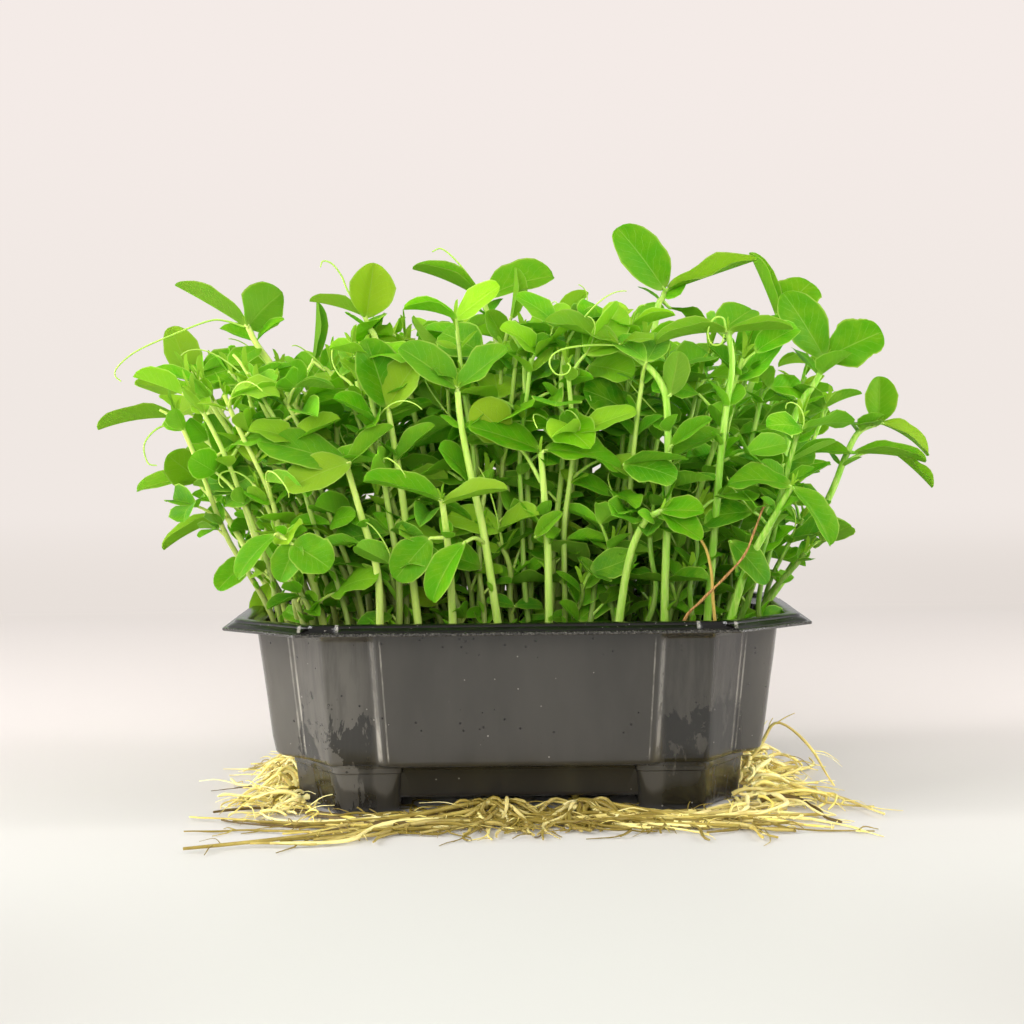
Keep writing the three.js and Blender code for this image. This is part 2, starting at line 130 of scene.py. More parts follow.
def smooth(low, high, value):
    k = min(1.0, max(0.0, (value - low) / (high - low)))
    return k * k * (3 - 2 * k)


def chance(seed):
    """A number from 0 to 1 that is the same on every run; the solids use the same rule."""
    s = math.sin(seed * 12.9898 + 4.1414) * 43758.5453
    return s - math.floor(s)


def heading(azimuth, elevation):
    a, e = math.radians(azimuth), math.radians(elevation)
    return Vector((math.cos(e) * math.cos(a), math.cos(e) * math.sin(a), math.sin(e)))


def spline(points, steps):
    """Points along a smooth line through the given ones."""
    p = [Vector(q) for q in points]
    p = [p[0] * 2 - p[1], *p, p[-1] * 2 - p[-2]]
    out = []
    spans = len(p) - 3
    for k in range(steps + 1):
        f = k / steps * spans
        i = min(int(f), spans - 1)
        t = f - i
        a, b, c, d = p[i:i + 4]
        out.append(0.5 * ((2 * b) + (c - a) * t + (2 * a - 5 * b + 4 * c - d) * t * t
                          + (3 * b - a - 3 * c + d) * t ** 3))
    return out


# ---------------------------------------------------------------- node trees


class Kit:
    """Adds nodes to a tree. A value given for a socket is set on it, and a socket is linked to it."""

    def __init__(self, tree):
        self.tree = tree

    def put(self, socket, value):
        if isinstance(value, bpy.types.NodeSocket):
            self.tree.links.new(value, socket)
        else:
            socket.default_value = value

    def node(self, kind, sockets=None, **settings):
        node = self.tree.nodes.new(kind)
        for key, value in settings.items():
            setattr(node, key, value)
        for key, value in (sockets or {}).items():
            self.put(node.inputs[key], value)
        return node

    def add(self, kind, sockets=None, **settings):
        """Adds a node and gives its first output."""
        return self.node(kind, sockets, **settings).outputs[0]

    def math(self, operation, *values, clamp=False):
        return self.add("ShaderNodeMath", dict(enumerate(values)), operation=operation, use_clamp=clamp)

    def chain(self, operation, first, *others):
        for other in others:
            first = self.math(operation, first, other)
        return first

    def times(self, *values):
        return self.chain("MULTIPLY", *values)

    def plus(self, *values):
        return self.chain("ADD", *values)

    def most(self, *values):
        return self.chain("MAXIMUM", *values)

    def minus(self, a, b):
        return self.math("SUBTRACT", a, b)

    def line(self, value, slope, start):
        return self.math("MULTIPLY_ADD", value, slope, start)

    def distance(self, value, mark=None):
        """How far a value is from a mark on its scale, or from nought."""
        return self.math("ABSOLUTE", value if mark is None else self.minus(value, mark))

    def step(self, value, low, high, out_low=0.0, out_high=1.0):
        """Goes smoothly from out_low to out_high while the value goes from low to high."""
        sockets = {"Value": value, "From Min": low, "From Max": high, "To Min": out_low, "To Max": out_high}
        return self.add("ShaderNodeMapRange", sockets, interpolation_type="SMOOTHSTEP")

    def fall(self, value, low, high):
        """One below low, nought above high."""
        return self.step(value, low, high, 1, 0)

    def band(self, value, start, full, wane, end):
        """One from full to wane, nought before start and after end."""
        return self.times(self.step(value, start, full), self.fall(value, wane, end))

    def blend(self, factor, a, b, mode="MIX"):
        node = self.node("ShaderNodeMix", data_type="RGBA", blend_type=mode, clamp_factor=True)
        self.put(node.inputs["Factor"], factor)
        for socket, value in zip([s for s in node.inputs if s.type == "RGBA"], (a, b)):
            if isinstance(value, bpy.types.NodeSocket):
                self.put(socket, value)
            else:
                self.put(socket, (*(srgb(value) if isinstance(value, str) else value), 1))
        return next(s for s in node.outputs if s.type == "RGBA")

    def darken(self, colour, share):
        grey = self.add("ShaderNodeCombineColor", {0: share, 1: share, 2: share})
        return self.blend(1.0, colour, grey, "MULTIPLY")

    def grain(self, vector, scale, detail=2.0, roughness=0.5, distortion=0.0):
        sockets = {"Vector": vector, "Scale": scale, "Detail": detail, "Roughness": roughness,
                   "Distortion": distortion}
        return self.node("ShaderNodeTexNoise", sockets).outputs["Fac"]

    def cells(self, vector, scale, output="Distance"):
        sockets = {"Vector": vector, "Scale": scale, "Randomness": 1.0}
        feature = "DISTANCE_TO_EDGE" if output == "Edge" else "F1"
        node = self.node("ShaderNodeTexVoronoi", sockets, feature=feature)
        return node.outputs["Color" if output == "Color" else "Distance"]

    def bump(self, height, strength, distance):
        sockets = {"Height": height, "Strength": strength, "Distance": distance}
        return self.add("ShaderNodeBump", sockets)

    def attribute(self, name, output="Vector"):
        node = self.node("ShaderNodeAttribute", attribute_name=name, attribute_type="GEOMETRY")
        return node.outputs[output]

    def split(self, vector):
        return tuple(self.node("ShaderNodeSeparateXYZ", {0: vector}).outputs)

    def stretch(self, vector, z, y=1):
        sockets = {0: vector, 1: (1, y, z)}
        return self.add("ShaderNodeVectorMath", sockets, operation="MULTIPLY")

    def tray_millimetres(self, z=1):
        """The piece's own coordinates in millimetres from the tray's middle, squeezed along z if asked."""
        own = self.node("ShaderNodeTexCoord").outputs["Object"]
        scale = Vector((1, 1, z)) / MM
        offset = tuple(-MIDDLE[i] * scale[i] for i in range(3))
        return self.add("ShaderNodeMapping", {"Vector": own, "Location": offset, "Scale": scale})

    def principled(self, **sockets):
        named_sockets = {key.replace("_", " "): value for key, value in sockets.items()}
        return self.add("ShaderNodeBsdfPrincipled", named_sockets)

    def finish(self, shader, kind="ShaderNodeOutputMaterial"):
        self.node(kind, {"Surface": shader})


def new_material(name):
    material = bpy.data.materials.new(name)
    material.use_nodes = True
    material.node_tree.nodes.clear()
    return material, Kit(material.node_tree)


def srgb(code):
    """The linear colour of a six-figure code."""
    values = [int(code[i:i + 2], 16) / 255 for i in (0, 2, 4)]
    return tuple(v / 12.92 if v <= 0.04045 else ((v + 0.055) / 1.055) ** 2.4 for v in values)


# ---------------------------------------------------------------- meshes


def new_object(name, mesh):
    thing = bpy.data.objects.new(name, mesh)
    bpy.context.scene.collection.objects.link(thing)
    return thing


def mesh_from(name, points, faces, edges=()):
    mesh = bpy.data.meshes.new(name)
    mesh.from_pydata([tuple(p) for p in points], list(edges), faces)
    mesh.validate()
    return mesh


def store(mesh, name, values, kind="FLOAT"):
    attribute = mesh.attributes.new(name, kind, "POINT")
    if kind == "FLOAT_VECTOR":
        attribute.data.foreach_set("vector", [c for v in values for c in v])
    else:
        attribute.data.foreach_set("value", list(values))


def smooth_faces(mesh, sharp_angle=None):
    mesh.shade_smooth()
    if sharp_angle is not None:
        mesh.set_sharp_from_angle(angle=math.radians(sharp_angle))


def settle(thing):
    """The object's mesh as its modifiers leave it, with none of them left."""
    graph = bpy.context.evaluated_depsgraph_get()
    mesh = bpy.data.meshes.new_from_object(thing.evaluated_get(graph), preserve_all_data_layers=True,
                                           depsgraph=graph)
    thing.modifiers.clear()
    old = thing.data
    mesh.name = old.name
    thing.data = mesh
    bpy.data.meshes.remove(old)
    return thing


def hand_over(thing, slot, *solids):
    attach(thing, "root")
    if solids:
        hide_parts(*solids)


def loft(name, rings):
    """A closed skin through rings of equally many points, capped at both ends; points in metres."""
    count = len(rings[0])
    points = [p for ring in rings for p in ring]
    faces = []
    for r in range(len(rings) - 1):
        for i in range(count):
            a, b = r * count + i, r * count + (i + 1) % count
            faces.append((a, b, b + count, a + count))
    faces.append(tuple(reversed(range(count))))
    last = (len(rings) - 1) * count
    faces.append(tuple(range(last, last + count)))
    return new_object(name, mesh_from(name, points, faces))


def combine(thing, others, operation):
    for other in others:
        cut = thing.modifiers.new("combine", "BOOLEAN")
        cut.solver = "MANIFOLD"
        cut.operation = operation
        cut.object = other
    settle(thing)
    for other in others:
        bpy.data.objects.remove(other)
    return thing


def all_quarters(quarter):
    turned = list(reversed(quarter))
    return [*quarter, *[(x, -y) for x, y in turned], *[(-x, -y) for x, y in quarter],
            *[(-x, y) for x, y in turned]]


def rounded(corners, radii, spans, arc=5):
    """A plan with its corners rounded: arc pieces in each corner and spans pieces in each edge."""
    n = len(corners)
    ends = []
    for i, here in enumerate(corners):
        here = Vector(here)
        before, after = Vector(corners[i - 1]), Vector(corners[(i + 1) % n])
        a, b = before - here, after - here
        half = max(0.2, (math.pi - a.angle(b)) / 2) if a.length and b.length else 0.2
        reach = min(radii[i] * math.tan(min(half, 1.2)), 0.45 * a.length, 0.45 * b.length)
        ends.append((here + a.normalized() * reach, here, here + b.normalized() * reach))
    plan = []
    for i, (start, peak, end) in enumerate(ends):
        for k in range(arc + 1):
            t = k / arc
            plan.append(start * (1 - t) ** 2 + peak * 2 * t * (1 - t) + end * t * t)
        following = ends[(i + 1) % n][0]
        for k in range(1, spans[i]):
            plan.append(end.lerp(following, k / spans[i]))
    return plan


def quarter_values(values, side=None, front=None):
    """Spreads a quarter's values over a plan's corners, or over its edges with side and front between."""
    back = list(reversed(values))
    if side is None:
        return [*values, *back, *values, *back]
    return [*values, side, *back, front, *values, side, *back, front]


BODY_RADII = quarter_values(WALL_RADII)
BODY_SPANS = quarter_values(WALL_SPANS[:4], WALL_SPANS[4], WALL_SPANS[5])


def wall_plan(z, inset, recess):
    k = (z - LEDGE) / (WALL_TOP - LEDGE)
    low, high = WALL_LOW, WALL_HIGH
    flat = mix(low["flat"], high["flat"], k)
    front = mix(low["front"], high["front"], k) - inset
    crease = [mix(low["crease"][i], high["crease"][i], k) - inset * 0.75 for i in (0, 1)]
    corner = [mix(low["corner"][i], high["corner"][i], k) for i in (0, 1)]
    quarter = [
        (flat, -front),
        (flat + STEP, -(front - recess)),
        (mix(low["end"], high["end"], k) - inset * 0.5, -(front - recess)),
        (crease[0], -crease[1]),
        (corner[0] - inset, -corner[1] + inset * 0.5),
    ]
    return rounded(all_quarters(quarter), BODY_RADII, BODY_SPANS)


def rim_plan(size, grow=0.0, dent=0.0):
    x, y, cut, turn = size
    x, y, cut = x + grow, y + grow, cut + grow * 0.4
    quarter = [
        (WALL_HIGH["flat"], -y),
        (WALL_HIGH["flat"] + STEP, -y),
        (x - cut, -y),
        (x - cut / 2, -(y - cut / 2)),
        (x, -(y - cut)),
    ]
    plan = rounded(all_quarters(quarter), quarter_values((2.0, 2.0, turn, 3.0, turn)), BODY_SPANS)
    near, far = NOTCH
    for p in plan:
        if dent and abs(abs(p.y) - y) < 0.05:
            away = abs(p.x)
            inside = smooth(near - 0.7, near + 0.7, away) * smooth(far + 0.7, far - 0.7, away)
            p.y -= math.copysign(dent * inside, p.y)
    return plan


def plinth_plan(z, inset):
    shrink = PLINTH["draft"] * (LEDGE - z) / (LEDGE - FLOOR) + inset
    x, y, c = PLINTH["x"] - shrink, PLINTH["y"] - shrink, PLINTH["corner"]
    corners = all_quarters([(x - c, -y), (x, -(y - c))])
    return rounded(corners, [5.0] * 8, [4, 14, 4, 34] * 2)


def foot_plan(shrink, signs):
    middle = sum((Vector(p) for p in FOOT_PLAN), Vector((0, 0))) / len(FOOT_PLAN)
    corners = []
    for p in FOOT_PLAN:
        p = Vector(p)
        q = p + (middle - p).normalized() * shrink * 1.3
        corners.append((signs[0] * q.x, signs[1] * q.y))
    if signs[0] * signs[1] < 0:
        corners.reverse()
    return rounded(corners, [4.5] * 6, [6] * 6)


def lift(plan, z):
    """A plan as a ring of points at one height, with the slight unevenness of a formed sheet."""
    ring = []
    for p in plan:
        spot = Vector((p[0], p[1], z))
        swell = 0.16 * noise.noise(spot / 22) + 0.07 * noise.noise(spot / 7 + Vector((9, 3, 1)))
        outward = Vector((p[0], p[1], 0)).normalized()
        ring.append(place(*(spot + outward * swell)))
    return ring


def fillet(plan_at, inset, z, radius, steps):
    """Plans and heights of a rounded lower edge: the plan grows while it rises."""
    angles = [math.pi / 2 * k / steps for k in range(steps + 1)]
    return [(plan_at(inset + radius * (1 - math.sin(a))), z + radius * (1 - math.cos(a))) for a in angles]


def shell(name, plans):
    """A closed skin through plans, each given with its height."""
    return loft(name, [lift(plan, z) for plan, z in plans])


def recess_end(t, inset, drop=0.0):
    """Where the recess of the panels runs out into the wall, t of the way up."""
    z = RECESS_TOP - 0.6 + 2.4 * t
    return wall_plan(z, inset, RECESS * (1 - smooth(0, 1, t))), z - drop * (1 - t)


def tray_skin():
    """The sheet from the foot of the wall up its outer side, over the rim and down its inner side."""
    plans = fillet(lambda inset: wall_plan(LEDGE, inset, RECESS), 0, LEDGE, 2.0, 5)
    plans += [(wall_plan(z, 0, RECESS), z) for z in (22, 28, 34, 40, 46, 51, 54.5)]
    plans += [recess_end(k / 5, 0) for k in range(6)]
    plans.append((wall_plan(WALL_TOP, 0, 0), WALL_TOP))
    under = RIM_TOP - SHEET
    ridge = ((0.18, 0.9), (0.05, 0.5), (-0.25, 0.18), (-0.7, 0.02))
    opening = ((1.6, 0), (0.8, 0.03), (0.25, 0.25), (0, 0.7), (-0.1, 1.3))
    rim = (
        (OPENING, SHEET * 1.2, 0, under - 0.5),
        (OPENING, SHEET * 1.6, 0, under),
        (RIDGE, -0.9, NOTCH_DEPTH * 0.4, under),
        (RIDGE, -0.35, NOTCH_DEPTH * 0.5, under - 0.5),
        (SKIRT_FOOT, -0.5, NOTCH_DEPTH, LIP_TOP - SHEET + 0.25),
        (SKIRT_FOOT, -0.1, NOTCH_DEPTH, LIP_TOP - SHEET),
        (LIP, -0.15, 0, LIP_TOP - SHEET),
        (LIP, 0, 0, LIP_TOP - SHEET + 0.15),
        (LIP, 0, 0, LIP_TOP - 0.2),
        (LIP, -0.2, 0, LIP_TOP),
        (SKIRT_FOOT, 0.55, NOTCH_DEPTH, LIP_TOP),
        (SKIRT_FOOT, 0.2, NOTCH_DEPTH, LIP_TOP + 0.14),
        (SKIRT_FOOT, 0, NOTCH_DEPTH, LIP_TOP + 0.45),
        *[(RIDGE, grow, NOTCH_DEPTH * 0.5, RIM_TOP - down) for grow, down in ridge],
        *[(OPENING, grow, 0, RIM_TOP - down) for grow, down in opening],
    )
    plans += [(rim_plan(size, grow, dent), z) for size, grow, dent, z in rim]
    plans.append((wall_plan(WALL_TOP, SHEET, 0), WALL_TOP))
    plans += [recess_end(1 - k / 5, SHEET, SHEET * 0.4) for k in range(6)]
    plans += [(wall_plan(z, SHEET, RECESS), z) for z in (54, 50, 45, MAT_TOP, 34, 28, 22)]
    plans.append((wall_plan(LEDGE, SHEET, RECESS), LEDGE + 2))
    plans.append((wall_plan(LEDGE, 2.0 + SHEET, RECESS), LEDGE + SHEET))
    return shell("tray_skin", plans)


def plinth_solid(inset, bottom, top):
    return shell("plinth", [
        *fillet(lambda i: plinth_plan(bottom, i), inset, bottom, 1.6, 4),
        (plinth_plan(LEDGE - 1.5, inset), LEDGE - 1.5),
        (plinth_plan(LEDGE, inset - 0.5), LEDGE - 0.3),
        (plinth_plan(LEDGE, inset - 0.9), top),
    ])


def foot_solid(signs, inset, bottom, top):
    return shell("foot", [
        *fillet(lambda i: foot_plan(i, signs), inset + FOOT_DRAFT, bottom, FOOT_ROUND, 6),
        (foot_plan(inset + 0.25, signs), LEDGE - 2.4),
        (foot_plan(inset - 0.2, signs), LEDGE - 2.0),
        (foot_plan(inset - 0.5, signs), top),
    ])


def drill(x, y):
    angles = [i * math.tau / HOLE_SIDES for i in range(HOLE_SIDES)]
    ring = [(x + HOLE_RADIUS * math.cos(a), y + HOLE_RADIUS * math.sin(a)) for a in angles]
    return loft("drill", [[place(*p, z) for p in ring] for z in (FLOOR - 2, FLOOR + 2)])


def tray_object():
    top = LEDGE + 0.5
    tray = tray_skin()
    combine(tray, [plinth_solid(0, FLOOR, top), *[foot_solid(s, 0, 0, top) for s in FOOT_SIGNS]], "UNION")
    high = LEDGE + 2 * SHEET
    inner = plinth_solid(SHEET, FLOOR + SHEET, high)
    combine(inner, [foot_solid(s, SHEET, SHEET, high) for s in FOOT_SIGNS], "UNION")
    combine(tray, [inner, *[drill(x, y) for x, y in DRAIN_HOLES]], "DIFFERENCE")
    tray.name = tray.data.name = "formed_tray"
    smooth_faces(tray.data, SHARP_CREASE)
    # faces that look inwards are told apart: they get painted shade, with little of the dried water's colour
    looks = []
    for vertex in tray.data.vertices:
        out = vertex.co - MIDDLE
        facing = vertex.normal.dot(Vector((out.x / LIP[0] ** 2, out.y / LIP[1] ** 2, 0)))
        looks.append(1.0 if facing < 0 and out.z < LIP_TOP * MM else 0.0)
    store(tray.data, "inside", looks)
    return tray


PANEL = (44, 47, 70, 73)  # from the middle, where a recessed panel begins, is full, is still full and ends
# painted highlights along the folds of the wall: where at its foot, where at its top, and half their width
PAINTED_HIGHLIGHT_LINES = (
    (WALL_LOW["flat"] + 1.4, WALL_HIGH["flat"] + 1.4, 0.7),
    (WALL_LOW["flat"] - 1.2, WALL_HIGH["flat"] - 1.2, 0.25),
    (WALL_LOW["crease"][0] - 0.75, WALL_HIGH["crease"][0] - 0.75, 0.3),
    (WALL_LOW["crease"][0] + 0.75, WALL_HIGH["crease"][0] + 0.75, 0.3),
)


def film_with_painted_light(kit, spot, panel):
    """How much dried water dulls the plastic, in vertical drifts, none on the rim and more on the feet below
    the ledge; it also paints light: lighter at the left than at the right, with painted shade on the
    set-back plinth and on the faces that look inwards.
    """
    x, y, z = kit.split(spot)
    cloud = kit.grain(kit.stretch(spot, 0.3), 0.05, 4, 0.6)
    streaks = kit.grain(kit.stretch(spot, 0.1), 0.4, 5, 0.65)
    # painted light: the dried water's colour is lighter at the left than at the right
    film_and_light = kit.times(kit.step(cloud, 0.25, 0.75, 0.55, 0.8), kit.step(x, -95, 95, 1.24, 0.9))
    film_and_light = kit.line(panel, kit.step(streaks, 0.3, 0.7, -0.1, 0.28), film_and_light)
    # painted shade: little of it on the set-back plinth
    plinth = kit.times(
        kit.fall(z, LEDGE - 1, LEDGE + 0.5),
        kit.fall(kit.distance(y), PLINTH["y"] + 0.9, PLINTH["y"] + 1.4),
    )
    return kit.times(
        film_and_light,
        kit.fall(z, WALL_TOP - 0.8, WALL_TOP),
        kit.line(plinth, -0.8, 1),
        kit.step(z, LEDGE - 1.5, LEDGE, 2.1, 1),
        # painted shade: little of it on the faces that look inwards
        kit.line(kit.attribute("inside", "Fac"), -0.85, 1),
    )


def wet_patches(kit, spot):
    """Where water still stands on a panel: islands low down and drops above them."""
    x, y, z = kit.split(spot)
    damp = kit.grain(kit.stretch(spot, 0.5), 0.13, 7, 0.66, 0.5)
    damp = kit.plus(damp, kit.plus(kit.step(z, 18, 50, 0.1, -0.16), kit.step(x, 40, 56, 0, 0.06)))
    islands = kit.step(kit.grain(kit.stretch(spot, 0.6), 0.07, 2, 0.5), 0.35, 0.65, -0.07, 0.07)
    patch = kit.step(kit.plus(damp, islands), 0.55, 0.562)
    size = kit.step(kit.grain(spot, 0.12, 2), 0.42, 0.72, -0.1, 0.42)
    drop = kit.fall(kit.minus(kit.cells(spot, 0.75), size), -0.02, 0.03)
    return kit.most(patch, kit.times(drop, kit.step(damp, 0.4, 0.48), 0.8))


def painted_crease_highlights(kit, spot):
    """Painted highlights along the steps and creases of the wall, lighter at the left than at the right."""
    x, y, z = kit.split(spot)
    rise = kit.math("DIVIDE", kit.minus(z, LEDGE), WALL_TOP - LEDGE)
    lines = 0.0
    for low, high, half in PAINTED_HIGHLIGHT_LINES:
        away = kit.distance(kit.distance(x), kit.line(rise, high - low, low))
        lines = kit.most(lines, kit.fall(away, half * 0.4, half * 1.5))
    broken = kit.step(kit.grain(kit.stretch(spot, 0.25), 0.16, 5, 0.7), 0.4, 0.6, 0.25, 1.0)
    wall = kit.band(z, LEDGE + 1, LEDGE + 4, RECESS_TOP - 2, RECESS_TOP + 1)
    on_wall = kit.step(kit.distance(y), 33, 35)
    return kit.times(kit.times(lines, broken), kit.times(wall, on_wall), kit.step(x, -30, 30, 0.62, 0.34))


def rim_marks_and_glints(kit, spot, rim):
    """The scuffed lip, crumbs on the rim, and painted glints at the bent ends of its dents."""
    x, y, z = kit.split(spot)
    lip = kit.band(z, LIP_TOP - 1.3, LIP_TOP - 0.7, LIP_TOP - 0.1, LIP_TOP + 0.3)
    scuffs = kit.times(lip, kit.step(kit.grain(spot, 1.4, 6, 0.75), 0.42, 0.66), 0.2)
    few = kit.step(kit.split(kit.cells(spot, 1.1, "Color"))[0], 0.82, 0.84)
    crumbs = kit.times(kit.fall(kit.cells(spot, 1.1), 0.12, 0.22), few, kit.times(rim, 0.3))
    # painted glints where the skirt bends in at the ends of its dents
    painted_glints = kit.most(*[kit.fall(kit.distance(kit.distance(x), end), 0.25, 0.75) for end in NOTCH])
    skirt = kit.times(
        kit.step(z, LIP_TOP + 0.2, LIP_TOP + 0.7),
        kit.step(kit.distance(y), 62.5, 63.5),
        kit.step(kit.grain(spot, 0.9, 3), 0.35, 0.55),
    )
    return kit.most(scuffs, crumbs, kit.times(painted_glints, skirt, 0.6))


def tray_material(settings):
    material, kit = new_material("black tray plastic")
    spot = kit.tray_millimetres()
    x, y, z = kit.split(spot)
    body = kit.fall(z, WALL_TOP - 0.8, WALL_TOP)
    rim = kit.step(z, LIP_TOP - 1, LIP_TOP)
    panel = kit.band(kit.distance(x), *PANEL)
    film_and_light = film_with_painted_light(kit, spot, panel)
    wet = kit.times(wet_patches(kit, spot), panel, body)
    dry = kit.times(film_and_light, kit.line(wet, -0.8, 1))
    # painted sheen: the plastic is lighter, in the sheen colour, on the recessed panel at the left and
    # around the right end
    left = kit.times(kit.step(x, -54, -43, 0.38, 0), kit.step(x, -88, -78, 0.5, 1))
    ends = kit.most(left, kit.step(x, 70, 84, 0, 0.46))
    colour = kit.blend(dry, settings.plastic, kit.blend(ends, settings.film_and_light, settings.painted_end_sheen))
    # rare pale and dark specks
    speck = kit.cells(spot, 0.42)
    pick = kit.split(kit.cells(spot, 0.42, "Color"))
    lit = kit.times(kit.fall(speck, 0.09, 0.13), kit.step(pick[0], 0.9, 0.92))
    ink = kit.times(kit.fall(speck, 0.14, 0.2), kit.step(pick[1], 0.85, 0.87))
    # scuffs, crumbs and pale specks, together with the painted highlights along the creases and the painted
    # glints at the dents
    wear_and_highlights = kit.most(rim_marks_and_glints(kit, spot, rim), painted_crease_highlights(kit, spot), kit.times(lit, 0.4))
    colour = kit.blend(kit.times(ink, body), colour, settings.specks)
    colour = kit.blend(wear_and_highlights, colour, settings.scale)
    below = kit.step(z, LEDGE - 2, LEDGE, 0.16, 0)
    rough = kit.plus(kit.line(film_and_light, 0.16, 0.09), below, kit.times(wet, -0.08), kit.times(rim, 0.14))
    rough = kit.math("ADD", rough, kit.times(wear_and_highlights, 0.4), clamp=True)
    waves = kit.grain(kit.stretch(spot, 0.35), 0.1, 3, 0.5)
    fine = kit.grain(spot, 2.2, 3, 0.6)
    height = kit.plus(waves, kit.times(fine, 0.02), kit.times(wet, 0.02), kit.times(wear_and_highlights, 0.12))
    kit.finish(kit.principled(Base_Color=colour, Roughness=rough, Normal=kit.bump(height, 0.35, 0.0006),
                              Specular_IOR_Level=0.55))
    return material


# ---------------------------------------------------------------- growing medium

MAT_RINGS = 28


def mat_object():
    inset = SHEET + 2 * GAP
    low = wall_plan(LEDGE, 1.2 + inset, RECESS)
    above = wall_plan(LEDGE + 1.2, inset + 0.2, RECESS)
    top = wall_plan(MAT_TOP, inset + 0.3, RECESS)
    rings = [
        lift(low, LEDGE + SHEET + GAP),
        lift(above, LEDGE + 1.2 + 2 * GAP),
        lift(top, MAT_TOP - 2.5),
        lift([p * 0.995 for p in top], MAT_TOP - 1.2),
    ]
    for k in range(MAT_RINGS):
        ring = []
        for p in top:
            q = p * (0.985 * (1 - k / MAT_RINGS))
            spot = Vector((q.x, q.y, 0))
            rise = 1.1 * noise.noise(spot / 9) + 0.8 * noise.noise(spot / 3.1) - 1.0
            ring.append(place(q.x, q.y, MAT_TOP + min(rise, -0.1)))
        rings.append(ring)
    mat = loft("coir_mat", rings)
    bm = bmesh.new()
    bm.from_mesh(mat.data)
    bmesh.ops.remove_doubles(bm, verts=bm.verts, dist=0.02 * MM)
    bm.to_mesh(mat.data)
    bm.free()
    smooth_faces(mat.data, 60)
    return mat


def coir_material():
    material, kit = new_material("coir")
    spot = kit.tray_millimetres()
    threads = kit.grain(kit.stretch(spot, 1, 0.3), 0.9, 6, 0.7, 1.4)
    crumbs = kit.cells(spot, 0.55)
    tone = kit.line(crumbs, 0.35, kit.times(threads, 0.75))
    colour = kit.blend(kit.step(tone, 0.3, 0.75), "2a1c12", "8a6a44")
    colour = kit.blend(kit.step(kit.grain(spot, 0.07, 3), 0.5, 0.66), colour, "5f5138")
    height = kit.plus(threads, kit.times(crumbs, 0.6))
    kit.finish(kit.principled(Base_Color=colour, Roughness=kit.step(threads, 0.3, 0.8, 0.75, 0.98),
                              Normal=kit.bump(height, 0.8, 0.0012)))
    return material


# ---------------------------------------------------------------- leaves

BLADE_WIDTH = 0.66  # of a leaf form's length
# fold and curl in degrees, lop: how much wider one half is, wave: of its margin, side: sideways bend,
# peak: over 1 the blade is widest beyond its middle, ends: larger is rounder,
# fine: rows and half columns of faces
LEAF_FORMS = {
    "open_1": dict(fold=12, curl=18),
    "open_2": dict(fold=16, curl=34, wave=0.05, peak=1.2),
    "open_3": dict(fold=18, curl=8, side=0.06, ends=2.2),
    "open_4": dict(fold=22, curl=52, wave=0.06, side=-0.05),
    "open_5": dict(fold=12, curl=-22, lop=0.08, peak=0.9),
    "open_6": dict(fold=9, curl=30, wave=0.06, ends=2.3),
    "half_1": dict(fold=30, curl=12),
    "half_2": dict(fold=32, curl=34, lop=0.1, peak=1.2),
    "half_3": dict(fold=36, curl=4, wave=0.05, side=0.05),
    "half_4": dict(fold=40, curl=24, side=-0.06, ends=2.2),
    "half_5": dict(fold=28, curl=46, wave=0.07, peak=0.9),
    "half_6": dict(fold=42, curl=10, ends=1.7, lop=-0.06),
    "folded_1": dict(fold=50, curl=10),
    "folded_2": dict(fold=52, curl=30, side=0.05),
    "folded_3": dict(fold=60, curl=16, wave=0.05),
    "closed_1": dict(fold=68, curl=8, ends=1.7),
    "closed_2": dict(fold=72, curl=24, side=0.05, ends=1.7),
    "closed_3": dict(fold=80, curl=4, fine=(6, 2)),
    "toothed_1": dict(fold=14, curl=12, teeth=0.05, wave=0.06, ends=2.3),
    "toothed_2": dict(fold=28, curl=20, teeth=0.05, wave=0.05, ends=2.2),
    "stipule_1": dict(fold=18, curl=25, lop=0.45, peak=0.7, ends=1.7, fine=(6, 2)),
    "stipule_2": dict(fold=30, curl=5, lop=-0.45, peak=0.7, ends=1.7, fine=(6, 2)),
    "small_1": dict(fold=24, curl=25, fine=(8, 2)),
    "small_2": dict(fold=45, curl=12, fine=(8, 2)),
    "small_3": dict(fold=12, curl=40, fine=(8, 2)),
    "scale_leaf": dict(fold=40, curl=18, ends=1.25, peak=0.8, fine=(6, 2)),
    "slim_1": dict(fold=60, curl=26, ends=1.4, fine=(7, 2)),
}
CROWD_FINE = (9, 3)  # the crowd's leaves have fewer faces than those at its edges
for form in [n for n in LEAF_FORMS if n.split("_")[0] in ("open", "half", "folded", "closed", "toothed")]:
    LEAF_FORMS[form + "_far"] = {**LEAF_FORMS[form], "fine": CROWD_FINE}
FORM_NAMES = sorted([*LEAF_FORMS, "seed_1", "seed_2", "seed_3"])
SMALL_FORMS = ["small_1", "small_2", "small_3"]
BROAD_FORMS = [n for n in LEAF_FORMS if n.endswith("_far")]
SHINE_THROUGH = 0.44  # share of the light on a leaf that comes through it
SHEET_OF_LEAF = 0.017  # its thickness, of its length
SHARP_MARGIN = 80  # degrees: past this the two skins meet in a sharp edge


